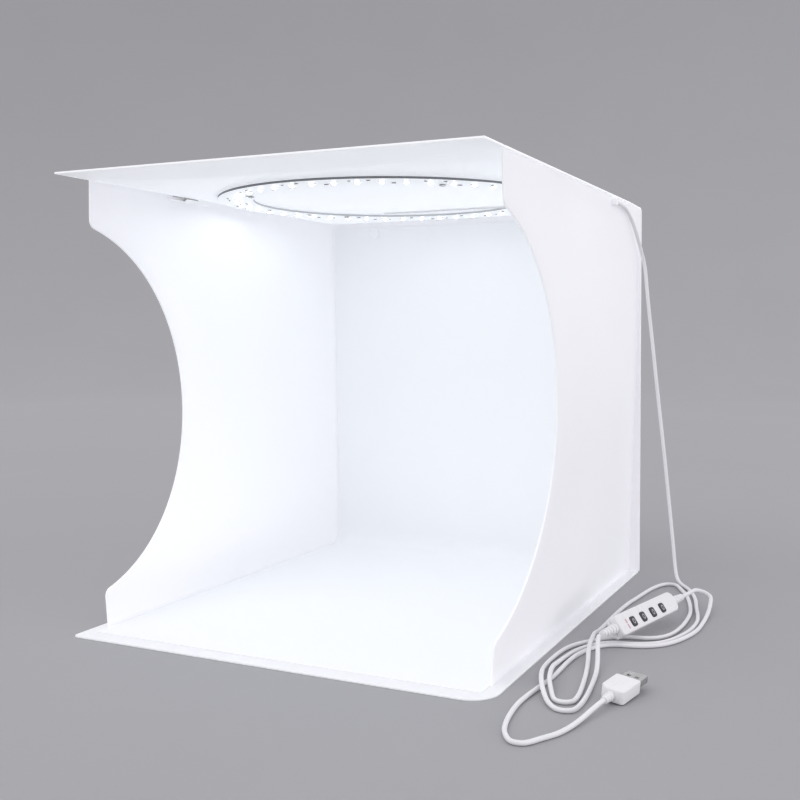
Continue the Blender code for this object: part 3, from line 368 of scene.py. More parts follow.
def sums(tree, operation, first, second):
    made = tree.nodes.new('ShaderNodeMath')
    made.operation = operation
    for slot, value in enumerate((first, second)):
        if isinstance(value, (int, float)):
            made.inputs[slot].default_value = value
        else:
            tree.links.new(value, made.inputs[slot])
    return made.outputs['Value']


def build_frosting():
    """Frosted sheet: fine matt grain, slow clouding and a few long hairline scuffs."""
    group, ins, outs = new_group(
        "frosting",
        [("Coords", 'NodeSocketVector', None), ("Grain", 'NodeSocketFloat', 1500.0),
         ("Scuffs", 'NodeSocketFloat', 0.5)],
        [("Cloud", 'NodeSocketFloat'), ("Scuff", 'NodeSocketFloat'), ("Height", 'NodeSocketFloat')])
    grain = noise(group, ins.outputs['Coords'], ins.outputs['Grain'], 2.0)
    cloud = noise(group, ins.outputs['Coords'], 14.0, 4.0)
    stretch = group.nodes.new('ShaderNodeMapping')
    stretch.inputs['Rotation'].default_value = (0.3, 0.9, 0.5)
    stretch.inputs['Scale'].default_value = (6.0, 420.0, 40.0)
    group.links.new(ins.outputs['Coords'], stretch.inputs['Vector'])
    hair = noise(group, stretch.outputs['Vector'], 1.0, 2.0)
    patch = noise(group, ins.outputs['Coords'], 22.0, 1.0)
    hair = ranged(group, hair, 0.66, 0.72, 0.0, 1.0)
    patch = ranged(group, patch, 0.5, 0.6, 0.0, ins.outputs['Scuffs'])
    scuff = sums(group, 'MULTIPLY', hair, patch)
    height = sums(group, 'SUBTRACT', grain, scuff)
    group.links.new(cloud, outs.inputs['Cloud'])
    group.links.new(scuff, outs.inputs['Scuff'])
    group.links.new(height, outs.inputs['Height'])
    return group


def build_moulding():
    """Moulded or extruded plastic: faint orange peel, dull flow marks and specks of dust."""
    group, ins, outs = new_group(
        "moulding",
        [("Coords", 'NodeSocketVector', None), ("Peel", 'NodeSocketFloat', 700.0),
         ("Dust", 'NodeSocketFloat', 0.4)],
        [("Flow", 'NodeSocketFloat'), ("Dust", 'NodeSocketFloat'), ("Height", 'NodeSocketFloat')])
    peel = noise(group, ins.outputs['Coords'], ins.outputs['Peel'], 2.0)
    flow = noise(group, ins.outputs['Coords'], 120.0, 3.0)
    specks = noise(group, ins.outputs['Coords'], 900.0, 0.0)
    specks = ranged(group, specks, 0.74, 0.8, 0.0, ins.outputs['Dust'])
    group.links.new(flow, outs.inputs['Flow'])
    group.links.new(specks, outs.inputs['Dust'])
    group.links.new(peel, outs.inputs['Height'])
    return group


FROSTING = build_frosting()
MOULDING = build_moulding()


def start_material(name):
    made = bpy.data.materials.new(name)
    made.use_nodes = True
    tree = made.node_tree
    coords = tree.nodes.new('ShaderNodeTexCoord').outputs['Object']
    return made, tree, tree.nodes["Principled BSDF"], coords


def blend_colours(tree, factor, first, second):
    made = tree.nodes.new('ShaderNodeMix')
    made.data_type = 'RGBA'
    tree.links.new(factor, made.inputs['Factor'])
    for socket, colour in (('A', first), ('B', second)):
        target = [s for s in made.inputs if s.name == socket and s.type == 'RGBA'][0]
        if isinstance(colour, tuple):
            target.default_value = (*colour, 1.0)
        else:
            tree.links.new(colour, target)
    return [s for s in made.outputs if s.type == 'RGBA'][0]


def bump(tree, shader, height, strength, distance):
    made = tree.nodes.new('ShaderNodeBump')
    made.inputs['Strength'].default_value = strength
    made.inputs['Distance'].default_value = distance
    tree.links.new(height, made.inputs['Height'])
    tree.links.new(made.outputs['Normal'], shader.inputs['Normal'])


def frosted_finish(name, light, shade, glow=0.5, rough=(0.34, 0.52), scuffs=0.5, grain=1500.0, painted_glow=0.1):
    """Milky sheet with a painted glow (emission) standing in for the ring's light through it, and a painted
    highlight on its paler cut rim.
    """
    made, tree, shader, coords = start_material(name)
    frosting = tree.nodes.new('ShaderNodeGroup')
    frosting.node_tree = FROSTING
    frosting.inputs['Grain'].default_value = grain
    frosting.inputs['Scuffs'].default_value = scuffs
    tree.links.new(coords, frosting.inputs['Coords'])
    body = blend_colours(tree, frosting.outputs['Cloud'], light, shade)
    worn = blend_colours(tree, frosting.outputs['Scuff'], body, (0.98, 0.98, 0.99))
    # Painted highlight on the cut rim: a paler colour here and a stronger glow below.
    rim = tree.nodes.new('ShaderNodeAttribute')
    rim.attribute_name = "rim"
    edged = blend_colours(tree, rim.outputs['Fac'], worn, (0.93, 0.94, 0.955))
    tree.links.new(edged, shader.inputs['Base Color'])
    tree.links.new(ranged(tree, frosting.outputs['Cloud'], 0.3, 0.7, *rough), shader.inputs['Roughness'])
    shader.inputs['Subsurface Weight'].default_value = glow
    shader.inputs['Subsurface Radius'].default_value = (1.0, 1.0, 1.0)
    shader.inputs['Subsurface Scale'].default_value = 4 * MM
    # Painted glow: the sheet emits a little light although it is no lamp, and more on its cut rim.
    shader.inputs['Emission Color'].default_value = (0.94, 0.97, 1.0, 1.0)
    tree.links.new(ranged(tree, rim.outputs['Fac'], 0.0, 1.0, painted_glow, painted_glow + 0.06),
                   shader.inputs['Emission Strength'])
    bump(tree, shader, frosting.outputs['Height'], 0.25, 0.06 * MM)
    return made


def moulded_finish(name, light, shade, rough=(0.3, 0.42), peel=700.0, dust=0.3, metallic=0.0, depth=0.04,
                   coat=0.0, painted_glow=0.0):
    made, tree, shader, coords = start_material(name)
    moulding = tree.nodes.new('ShaderNodeGroup')
    moulding.node_tree = MOULDING
    moulding.inputs['Peel'].default_value = peel
    moulding.inputs['Dust'].default_value = dust
    tree.links.new(coords, moulding.inputs['Coords'])
    body = blend_colours(tree, moulding.outputs['Flow'], light, shade)
    dusty = blend_colours(tree, moulding.outputs['Dust'], body, (0.75, 0.74, 0.72))
    tree.links.new(dusty, shader.inputs['Base Color'])
    tree.links.new(ranged(tree, moulding.outputs['Flow'], 0.3, 0.7, *rough), shader.inputs['Roughness'])
    shader.inputs['Metallic'].default_value = metallic
    shader.inputs['Coat Weight'].default_value = coat
    # Painted glow: emission on a part that is no lamp; zero unless a strength is given.
    shader.inputs['Emission Color'].default_value = (0.94, 0.98, 1.0, 1.0)
    shader.inputs['Emission Strength'].default_value = painted_glow
    bump(tree, shader, moulding.outputs['Height'], 0.3, depth * MM)
    return made


def glowing_finish(name, colour, strength):
    """Lit face of a light, mottled a little between its colour and white."""
    made, tree, shader, coords = start_material(name)
    spots = noise(tree, coords, 900.0, 1.0)
    tint = blend_colours(tree, spots, colour, (1.0, 1.0, 1.0))
    tree.links.new(tint, shader.inputs['Base Color'])
    tree.links.new(tint, shader.inputs['Emission Color'])
    shader.inputs['Emission Strength'].default_value = strength
    return made


# Sheets and backdrop get a painted glow of their own, strongest on the roof.
WALL_FINISH = frosted_finish("frosted_wall", (0.91, 0.90, 0.93), (0.88, 0.87, 0.905), 0.45, painted_glow=0.11)
ROOF_FINISH = frosted_finish("frosted_roof", (0.90, 0.91, 0.93), (0.87, 0.885, 0.91), 0.45, painted_glow=0.18)
BASE_FINISH = frosted_finish("frosted_base", (0.91, 0.915, 0.935), (0.88, 0.89, 0.915), 0.4, painted_glow=0.10)
BACKDROP_FINISH = frosted_finish("backdrop_white", (0.93, 0.94, 0.95), (0.91, 0.92, 0.94), 0.2,
                                 (0.5, 0.62), 0.25, 900.0)
JACKET = moulded_finish("cable_jacket", (0.89, 0.89, 0.90), (0.84, 0.84, 0.85), (0.32, 0.46), 500.0, 0.5)
CASE = moulded_finish("white_case", (0.88, 0.88, 0.885), (0.84, 0.84, 0.845), (0.24, 0.36), 900.0, 0.35,
                      coat=0.15)
SOFT_WHITE = moulded_finish("soft_white", (0.90, 0.90, 0.905), (0.86, 0.86, 0.865), (0.38, 0.5), 900.0, 0.4)
NYLON = moulded_finish("nylon_white", (0.86, 0.86, 0.84), (0.80, 0.80, 0.79), (0.3, 0.45), 600.0, 0.3)
KEY_DARK = moulded_finish("key_dark", (0.035, 0.035, 0.042), (0.055, 0.055, 0.062), (0.42, 0.6), 1200.0, 0.3)
KEY_MARK = moulded_finish("key_mark", (0.60, 0.60, 0.61), (0.50, 0.50, 0.51), (0.4, 0.5), 900.0, 0.1)
FADED_RED = moulded_finish("faded_red", (0.60, 0.33, 0.37), (0.66, 0.42, 0.45), (0.4, 0.5), 900.0, 0.1)
PLATED = moulded_finish("plated_steel", (0.60, 0.60, 0.59), (0.46, 0.46, 0.45), (0.2, 0.36), 400.0, 0.1,
                        1.0, 0.02)
# The ring board's white gets a painted glow, standing in for the light on it.
BOARD_WHITE = moulded_finish("board_white", (0.88, 0.89, 0.90), (0.84, 0.855, 0.87), (0.3, 0.42), 500.0, 0.1,
                             painted_glow=0.18)
# Painted shade on the white board's cut edges: dark grey outside, for the shade on it and in the gap under
# the roof, and mid grey inside.
RING_EDGE_SHADE = moulded_finish("ring_edge_painted_shade", (0.20, 0.21, 0.22), (0.26, 0.27, 0.28), (0.6, 0.8), 500.0, 0.2)
RING_INNER_EDGE_SHADE = moulded_finish("ring_inner_edge_painted_shade", (0.56, 0.57, 0.58), (0.64, 0.65, 0.66), (0.6, 0.8),
                                 500.0, 0.2)
PACKAGE = glowing_finish("light_package", (0.90, 0.92, 0.93), 0.9)
CHIP = moulded_finish("chip_grey", (0.27, 0.275, 0.28), (0.36, 0.365, 0.37), (0.35, 0.5), 900.0, 0.1)
SOLDER = moulded_finish("solder", (0.62, 0.62, 0.60), (0.50, 0.50, 0.49), (0.2, 0.35), 900.0, 0.0, 1.0)
CIRCUIT = moulded_finish("circuit_green", (0.03, 0.16, 0.08), (0.045, 0.20, 0.10), (0.3, 0.4), 500.0, 0.1)
LIT = glowing_finish("lit_phosphor", (0.93, 0.97, 1.0), 12.0)


# Mesh helpers
def keep(bm, name, finishes, body=None, smooth=math.radians(35)):
    """Turn a bmesh into a piece at the origin; it rides on a body if one is named."""
    bmesh.ops.recalc_face_normals(bm, faces=bm.faces)
    mesh = bpy.data.meshes.new(name)
    bm.to_mesh(mesh)
    bm.free()
    made = bpy.data.objects.new(name, mesh)
    bpy.context.scene.collection.objects.link(made)
    for finish in finishes if isinstance(finishes, (list, tuple)) else [finishes]:
        mesh.materials.append(finish)
    if smooth is not None:
        mesh.shade_smooth()
        mesh.set_sharp_from_angle(angle=smooth)
    if body:
        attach(made, body)
    return made


def settle(item, body=None):
    """Apply what modifiers the piece has and keep the plain mesh."""
    evaluated = item.evaluated_get(bpy.context.evaluated_depsgraph_get())
    mesh = bpy.data.meshes.new_from_object(evaluated)
    old = item.data
    item.modifiers.clear()
    item.data = mesh
    mesh.name = item.name
    bpy.data.meshes.remove(old)
    if body:
        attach(item, body)
    return item


def bevelled(item, width, steps=2, angle=math.radians(50)):
    soft = item.modifiers.new("Edges", 'BEVEL')
    soft.width = width
    soft.segments = steps
    soft.limit_method = 'ANGLE'
    soft.angle_limit = angle
    soft.harden_normals = False
    return item


def cut_with(item, tools, operation='DIFFERENCE'):
    """Boolean with several bodies, applied at once and the tools removed."""
    for k, bm in enumerate(tools):
        tool = keep(bm, "tool_%d" % k, SOFT_WHITE, smooth=None)
        change = item.modifiers.new("Cut_%d" % k, 'BOOLEAN')
        change.operation = operation
        change.object = tool
    settle(item)
    for tool in [o for o in bpy.data.objects if o.name.startswith("tool_")]:
        bpy.data.objects.remove(tool, do_unlink=True)
    return item


def sharpened(item, degrees):
    """Smooth shading, with a sharp edge wherever two faces meet at more than the angle."""
    item.data.shade_smooth()
    item.data.set_sharp_from_angle(angle=math.radians(degrees))


def box_mesh(low, high):
    low, high = Vector(low), Vector(high)
    size = high - low
    bm = bmesh.new()
    place = Matrix.Translation((low + high) / 2) @ Matrix.Diagonal((*size, 1.0))
    bmesh.ops.create_cube(bm, size=1.0, matrix=place)
    return bm


def round_upright(bm, radius, steps=4):
    upright = [e for e in bm.edges if abs((e.verts[0].co - e.verts[1].co).normalized().z) > 0.99]
    bmesh.ops.bevel(bm, geom=upright, offset=radius, segments=steps, profile=0.5, affect='EDGES',
                    clamp_overlap=True)
    return bm


def moved(bm, matrix):
    bmesh.ops.transform(bm, matrix=matrix, verts=bm.verts)
    return bm


def turned(profile, steps=32):
    """(radius, z) points turned about Z; a radius of 0 closes to a pole."""
    bm = bmesh.new()
    rings = []
    for radius, z in profile:
        if radius == 0:
            rings.append([bm.verts.new((0, 0, z))])
            continue
        turn = [2 * math.pi * i / steps for i in range(steps)]
        rings.append([bm.verts.new((radius * math.cos(t), radius * math.sin(t), z)) for t in turn])
    closed = profile[0][0] != 0
    for k in range(len(rings) if closed else len(rings) - 1):
        here, there = rings[k], rings[(k + 1) % len(rings)]
        for i in range(steps):
            j = (i + 1) % steps
            corners = [here[i % len(here)], here[j % len(here)], there[j % len(there)], there[i % len(there)]]
            face = list(dict.fromkeys(corners))
            if len(face) > 2:
                bm.faces.new(face)
    return bm


def lathe(profile, steps=32):
    """As turned, from points in millimetres."""
    return turned([(radius * MM, z * MM) for radius, z in profile], steps)


def rod(radius, low, high, steps=24):
    return turned([(0, low), (radius, low), (radius, high), (0, high)], steps)


def screw_holes():
    """Cutters for the ring's screws, through board and roof."""
    holes = []
    for k in range(SCREWS):
        low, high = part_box("ring_screw_%d" % (k + 1))
        middle = (low + high) / 2
        holes.append(moved(rod(SCREW_HOLE_R, SCREW_HOLE_LOW, SCREW_HOLE_HIGH),
                           Matrix.Translation((middle.x, middle.y, 0))))
    return holes


def prism(outline, low, high):
    bm = bmesh.new()
    face = bm.faces.new([bm.verts.new((x, y, low)) for x, y in outline])
    drawn = bmesh.ops.extrude_face_region(bm, geom=[face])
    top = [v for v in drawn["geom"] if isinstance(v, bmesh.types.BMVert)]
    bmesh.ops.translate(bm, verts=top, vec=(0, 0, high - low))
    return bm


def two_skins(rows, offset):
    """Closed sheet from a grid of points and a function that gives the second skin's point."""
    bm = bmesh.new()
    first = [[bm.verts.new(p) for p in row] for row in rows]
    second = [[bm.verts.new(offset(p)) for p in row] for row in rows]
    high, wide = len(rows), len(rows[0])
    for skin in (first, second):
        for r in range(high - 1):
            for c in range(wide - 1):
                bm.faces.new((skin[r][c], skin[r][c + 1], skin[r + 1][c + 1], skin[r + 1][c]))
    rim = [(0, c) for c in range(wide)] + [(r, wide - 1) for r in range(1, high)]
    rim += [(high - 1, c) for c in range(wide - 2, -1, -1)] + [(r, 0) for r in range(high - 2, 0, -1)]
    for k, (r, c) in enumerate(rim):
        s, d = rim[(k + 1) % len(rim)]
        bm.faces.new((first[r][c], first[s][d], second[s][d], second[r][c]))
    return bm


def mark_rim(item, flat_axis):
    """Store 1 on the points of a sheet's cut edge, and 0 on its two skins; the frosted finish paints a
    highlight where it is 1.
    """
    mesh = item.data
    found = mesh.attributes.new("rim", 'FLOAT', 'POINT')
    edge = set()
    for face in mesh.polygons:
        if abs(face.normal[flat_axis]) < 0.5:
            edge.update(face.vertices)
    found.data.foreach_set("value", [1.0 if i in edge else 0.0 for i in range(len(mesh.vertices))])


# Side walls
def scoop_outline():
    """Front edge of a wall from its foot to its top: straight, filleted into one round scoop."""
    half = (SCOOP_HIGH - SCOOP_LOW) / 2
    radius = (half * half + SCOOP_DEPTH * SCOOP_DEPTH) / (2 * SCOOP_DEPTH)
    middle_y, middle_z = WALL_FRONT_Y + SCOOP_DEPTH - radius, (SCOOP_HIGH + SCOOP_LOW) / 2
    corner_y = WALL_FRONT_Y + SCOOP_CORNER
    rise = math.sqrt((radius + SCOOP_CORNER) ** 2 - (corner_y - middle_y) ** 2)
    meet = math.atan2(rise, corner_y - middle_y)
    upper = []
    for k in range(9):
        turn = math.pi + meet * k / 8
        upper.append((corner_y + SCOOP_CORNER * math.cos(turn),
                      middle_z + rise + SCOOP_CORNER * math.sin(turn)))
    arc = []
    for k in range(1, 72):
        turn = meet - 2 * meet * k / 72
        arc.append((middle_y + radius * math.cos(turn), middle_z + radius * math.sin(turn)))
    lower = [(y, 2 * middle_z - z) for y, z in reversed(upper)]
    top = [(WALL_FRONT_Y, WALL_HIGH - (WALL_HIGH - upper[0][1]) * k / 5) for k in range(5)]
    foot = [(WALL_FRONT_Y, WALL_LOW + (lower[-1][1] - WALL_LOW) * (4 - k) / 5) for k in range(5)]
    return (top + upper + arc + lower + foot)[::-1]


def wall_x(y, z, front):
    share = (WALL_REAR_Y - y) / (WALL_REAR_Y - front)
    bow = WALL_BOW * math.sin(math.pi * z / HEIGHT) * share * share
    return WALL_HALF - WALL_LEAN * (1 - z / HEIGHT) + bow


def make_wall(side, word):
    """Bowed frosted sheet with a scooped front edge, cut for its slot or for the gland, and its tab."""
    rows = []
    columns = 26
    for front, z in scoop_outline():
        row = []
        for k in range(columns + 1):
            y = front + (WALL_REAR_Y - front) * (k / columns)
            row.append((side * wall_x(y, z, front), y, z))
        rows.append(row)
    wall = two_skins(rows, lambda p: (p[0] - side * SHEET, p[1], p[2]))
    wall = keep(wall, word + "_wall_sheet", WALL_FINISH)
    if side < 0:
        slot = box_mesh((-CUT_OUT, SLOT_FRONT_Y, SLOT_LOW), (-CUT_IN, SLOT_REAR_Y, SLOT_HIGH))
        lay = Matrix.Translation(RELIEF_AT) @ Matrix.Rotation(-math.pi / 2, 4, 'Y')
        tools = [slot, moved(rod(RELIEF_R, CUT_IN, CUT_OUT), lay)]
    else:
        low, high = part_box("cable_gland")
        middle = (low.y + high.y) / 2
        tools = [box_mesh((CUT_IN, middle - GLAND_HOLE_HALF, low.z + GLAND_HOLE_RIM),
                          (CUT_OUT, middle + GLAND_HOLE_HALF, high.z - GLAND_HOLE_RIM))]
    cut_with(wall, tools)
    bevelled(wall, RIM)
    settle(wall, word + "_wall")
    mark_rim(wall, 0)
    sharpened(wall, 40)
    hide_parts(word + "_wall")
    make_tab(side, word)
    return wall


def make_tab(side, word):
    """Tab bent in from the wall under the roof, and the press stud between the two."""
    wall = WALL_HALF - SHEET - TAB_GAP
    rows = []
    for k in range(9):
        y = TAB_FRONT_Y + TAB_LONG * k / 8
        row = []
        for i in range(13):
            reach = TAB_REACH * (1 - (1 - i / 12) ** 1.4)
            turned_up = TAB_LIP * eased((reach - TAB_FLAT) / (TAB_REACH - TAB_FLAT))
            x = wall - reach
            row.append((side * x, y, ROOF_LOW - roof_sag(x, y) - TAB_DROP + turned_up))
        rows.append(row)
    tab = keep(two_skins(rows, lambda p: (p[0], p[1], p[2] + TAB_THICK)), word + "_wall_tab", WALL_FINISH)
    bevelled(tab, TAB_RIM)
    settle(tab, word + "_wall")
    mark_rim(tab, 2)
    for half, low, high, bulge in (("stud", -2.9, -1.7, 0.25), ("socket", -1.5, -0.3, -0.2)):
        node = "snap_%s_%s" % (half, word)
        a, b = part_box(node)
        x, y = (a.x + b.x) / 2, (a.y + b.y) / 2
        slope = (roof_sag(abs(x) - 4 * MM, y) - roof_sag(abs(x) + 4 * MM, y)) / (8 * MM)
        r = (b.x - a.x) / 2 / MM
        profile = [(0, low + max(0, -bulge)), (r * 0.45, low + max(0, -bulge)), (r * 0.55, low),
                   (r - 0.4, low), (r, low + 0.3), (r, high - 0.3), (r - 0.3, high), (0, high)]
        lay = Matrix.Translation((x, y, ROOF_LOW - roof_sag(x, y)))
        lay = lay @ Matrix.Rotation(-side * math.atan(slope), 4, 'Y')
        disc = moved(lathe(profile), lay)
        body = word + "_wall" if half == "stud" else "roof"
        piece = keep(disc, "press_%s_%s" % (half, word), PLATED, body)
        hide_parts(node)


# Roof, floor and back
def eased(value):
    value = min(1.0, max(0.0, value))
    return value * value * (3 - 2 * value)


def roof_sag(x, y):
    """How far the roof hangs: a shallow pan with the ring's weight in it, and a sag at the front crease."""
    across = 1 - (x / ROOF_HALF) ** 2
    if y < CREASE_Y:
        out = (CREASE_Y - y) / (CREASE_Y - FRONT_Y)
        return CREASE_SAG * across * (1 - out) ** 1.3
    pan = eased((ROOF_HALF - abs(x)) / PAN_SIDE) * eased((REAR_Y - y) / PAN_REAR)
    pan *= eased((y - CREASE_Y) / PAN_FRONT)
    crease = CREASE_SAG * across * eased((SAG_END_Y - y) / (SAG_END_Y - CREASE_Y))
    return PAN_SAG * pan + crease * (1 - pan)


def roof_half(y):
    """Half width of the roof: drawn in a little towards the rear, with small round corners there."""
    short = max(0.0, ROOF_CORNER - (REAR_Y - y))
    drawn_in = (ROOF_HALF - BACK_TOP_HALF) * eased((y - ROOF_TAPER_Y) / ROOF_TAPER)
    return ROOF_HALF - drawn_in - ROOF_CORNER + math.sqrt(ROOF_CORNER ** 2 - short ** 2)


def crease_groove(y):
    return CREASE_GROOVE * math.exp(-((y - CREASE_Y) / CREASE_WIDE) ** 2)


def make_roof():
    """One sheet over roof and flap, pressed thin along the crease between them."""
    stations = [REAR_Y - d * MM for d in (0, 0.15, 0.5, 1.0, 1.8, 3.0, 6.0)]
    stations += [REAR_Y - (REAR_Y - ROOF_MID_Y) * k / 24 for k in range(1, 25)]
    stations += [ROOF_MID_Y + (CREASE_Y - ROOF_MID_Y) * k / 16 for k in range(1, 15)]
    stations += [CREASE_Y + d * MM for d in (3.0, 1.6, 0.9, 0.45, 0.0, -0.45, -0.9, -1.6, -3.0)]
    stations += [CREASE_Y - 3 * MM - (CREASE_Y - 3 * MM - FRONT_Y) * k / 8 for k in range(1, 9)]
    columns = 72
    rows = []
    for y in stations:
        row = []
        for k in range(columns + 1):
            x = roof_half(y) * (2 * k / columns - 1)
            row.append((x, y, HEIGHT - roof_sag(x, y) - crease_groove(y)))
        rows.append(row)

    def under(p):
        return (p[0], p[1], p[2] + 2 * crease_groove(p[1]) - SHEET)

    roof = keep(two_skins(rows, under), "roof_sheet", ROOF_FINISH)
    cut_with(roof, screw_holes())
    bevelled(roof, RIM)
    settle(roof)
    mark_rim(roof, 2)
    sharpened(roof, 40)
    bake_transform(roof)
    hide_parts("top_panel", "top_flap")


def make_floor_and_back():
    outline = [(FLOOR_HALF, REAR_Y), (-FLOOR_HALF, REAR_Y)]
    for side, radius in FLOOR_CORNERS:
        for k in range(13):
            turn = math.pi / 2 * k / 12
            lean = turn if side < 0 else math.pi / 2 - turn
            outline.append((side * (FLOOR_HALF - radius + radius * math.cos(lean)),
                            FLOOR_FRONT_Y + radius - radius * math.sin(lean)))
    floor = bevelled(keep(prism(outline, 0, SHEET), "floor_sheet", BASE_FINISH), RIM)
    settle(floor, "base")
    mark_rim(floor, 2)
    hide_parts("bottom_panel")
    outline = [(-BACK_LOW_HALF, WALL_LOW), (BACK_LOW_HALF, WALL_LOW), (BACK_TOP_HALF, WALL_HIGH),
               (-BACK_TOP_HALF, WALL_HIGH)]
    stand = Matrix.Translation((0, REAR_Y, 0)) @ Matrix.Rotation(math.pi / 2, 4, 'X')
    back = keep(moved(prism(outline, 0, SHEET), stand), "back_sheet", WALL_FINISH)
    holes = []
    for side in (-1, 1):
        low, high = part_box("backdrop_stud_left" if side < 0 else "backdrop_stud_right")
        spot = (low + high) / 2
        lay = Matrix.Translation((spot.x, REAR_Y + STUD_HOLE_PAST, spot.z))
        lay = lay @ Matrix.Rotation(math.pi / 2, 4, 'X')
        holes.append(moved(rod(STUD_HOLE_R, 0, 2 * STUD_HOLE_PAST), lay))
    cut_with(back, holes)
    bevelled(back, RIM)
    settle(back, "base")
    mark_rim(back, 1)
    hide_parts("back_panel")


def make_backdrop():
    """Soft white sheet: flat on the floor, swept up and hung, as wide as the leaning walls let it be."""
    low, back = BACKDROP_LOW, BACKDROP_BACK
    front, top = WALL_FRONT_Y - BACKDROP_OUT, ROOF_LOW - BACKDROP_TOP_GAP
    sweep, thick = BACKDROP_SWEEP, BACKDROP_THICK
    path = [(front + (back - sweep - front) * k / 26, low + thick) for k in range(27)]
    for k in range(1, 17):
        turn = math.pi / 2 * k / 16
        path.append((back - sweep + (sweep - thick) * math.sin(turn),
                     low + sweep - (sweep - thick) * math.cos(turn)))
    path += [(back - thick, low + sweep + (top - low - sweep) * k / 22) for k in range(1, 23)]
    last = len(path) - 1
    columns = 36
    rows = []
    normals = {}
    for i, (y, z) in enumerate(path):
        before, after = path[max(0, i - 1)], path[min(last, i + 1)]
        along = Vector((0, after[0] - before[0], after[1] - before[1])).normalized()
        normal = Vector((0, -along.z, along.y))
        half = WALL_HALF - SHEET - WALL_LEAN * (1 - z / HEIGHT) - BACKDROP_SIDE_GAP
        held = eased(min(i, last - i) / 8.0)
        row = []
        for k in range(columns + 1):
            x = -half + 2 * half * k / columns
            wave = BACKDROP_WAVE * (1 + math.sin(x * 31.0 + i * 0.33)) * eased(abs(x) / half) ** 3
            point = Vector((x, y, z)) + normal * wave * held
            row.append(point)
            normals[tuple(point)] = normal
        rows.append(row)
    sheet = keep(two_skins(rows, lambda p: p - normals[tuple(p)] * thick), "backdrop", BACKDROP_FINISH)
    bevelled(sheet, BACKDROP_RIM, 1)
    settle(sheet, "base")
    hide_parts("backdrop_sheet")
    for word in ("left", "right"):
        low_corner, high_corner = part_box("backdrop_stud_" + word)
        spot = (low_corner + high_corner) / 2
        profile = [(0, -1.35), (2.0, -1.3), (3.6, -1.05), (4.7, -0.55), (5.2, 0), (1.8, 0),
                   (1.8, 2.6), (0, 2.6)]
        lay = Matrix.Translation((spot.x, STUD_FACE_Y, spot.z)) @ Matrix.Rotation(-math.pi / 2, 4, 'X')
        stud = keep(moved(lathe(profile), lay), "hanging_stud_" + word, BACKDROP_FINISH, "base")
        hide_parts("backdrop_stud_" + word)
        profile = [(0, 0), (5.2, 0), (4.9, 0.5), (4.0, 0.95), (2.2, 1.18), (0, 1.2)]
        lay = Matrix.Translation((spot.x, REAR_Y + CAP_GAP, spot.z)) @ Matrix.Rotation(-math.pi / 2, 4, 'X')
        cap = keep(moved(lathe(profile), lay), "hanging_cap_" + word, NYLON, "base")
        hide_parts("backdrop_cap_" + word)


# Ring of lights
def node_tree(name, sizes):
    """Geometry tree with named length or count inputs, and its output node."""
    tree = bpy.data.node_groups.new(name, 'GeometryNodeTree')
    tree.interface.new_socket(name="Geometry", in_out='OUTPUT', socket_type='NodeSocketGeometry')
    for socket, kind, value in sizes:
        made = tree.interface.new_socket(name=socket, in_out='INPUT', socket_type=kind)
        made.default_value = value
    return tree, tree.nodes.new('NodeGroupInput'), tree.nodes.new('NodeGroupOutput')


def ring_of_blocks(tree, ins, count, radius, turn, block, drop, finish, shape='cube'):
    """Branch of the tree: one block on each point of a circle, turned to face outwards."""
    circle = tree.nodes.new('GeometryNodeMeshCircle')
    tree.links.new(ins.outputs[count], circle.inputs['Vertices'])
    tree.links.new(ins.outputs[radius], circle.inputs['Radius'])
    position = tree.nodes.new('GeometryNodeInputPosition')
    aim = tree.nodes.new('FunctionNodeAlignRotationToVector')
    aim.axis = 'X'
    aim.pivot_axis = 'Z'
    tree.links.new(position.outputs['Position'], aim.inputs['Vector'])
    if shape == 'cube':
        solid = tree.nodes.new('GeometryNodeMeshCube')
        solid.inputs['Size'].default_value = [v * MM for v in block]
        source = solid.outputs['Mesh']
    else:
        solid = tree.nodes.new('GeometryNodeMeshUVSphere')
        solid.inputs['Segments'].default_value = 20
        solid.inputs['Rings'].default_value = 10
        solid.inputs['Radius'].default_value = 1.0
        press = tree.nodes.new('GeometryNodeTransform')
        press.inputs['Scale'].default_value = [v * MM for v in block]
        tree.links.new(solid.outputs['Mesh'], press.inputs['Geometry'])
        source = press.outputs['Geometry']
    shift = tree.nodes.new('GeometryNodeTransform')
    shift.inputs['Translation'].default_value = (drop[0] * MM, drop[1] * MM, drop[2] * MM)
    tree.links.new(source, shift.inputs['Geometry'])
    placed = tree.nodes.new('GeometryNodeInstanceOnPoints')
    tree.links.new(circle.outputs['Mesh'], placed.inputs['Points'])
    tree.links.new(shift.outputs['Geometry'], placed.inputs['Instance'])
    tree.links.new(aim.outputs['Rotation'], placed.inputs['Rotation'])
    spin = tree.nodes.new('GeometryNodeTransform')
    spin.inputs['Rotation'].default_value = (0, 0, turn)
    tree.links.new(placed.outputs['Instances'], spin.inputs['Geometry'])
    real = tree.nodes.new('GeometryNodeRealizeInstances')
    tree.links.new(spin.outputs['Geometry'], real.inputs['Geometry'])
    paint = tree.nodes.new('GeometryNodeSetMaterial')
    paint.inputs['Material'].default_value = finish
    tree.links.new(real.outputs['Geometry'], paint.inputs['Geometry'])
    return paint.outputs['Geometry']


def grown(tree, name, values, place, body):
    """Run a tree on an empty object, keep its mesh in place, and let it ride on a body."""
    mesh = bpy.data.meshes.new(name)
    made = bpy.data.objects.new(name, mesh)
    bpy.context.scene.collection.objects.link(made)
    grow = made.modifiers.new("Grow", 'NODES')
    grow.node_group = tree
    for item in tree.interface.items_tree:
        if item.in_out == 'INPUT' and item.name in values:
            grow[item.identifier] = values[item.name]
    settle(made)
    made.data.transform(place)
    made.data.update()
    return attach(made, body)


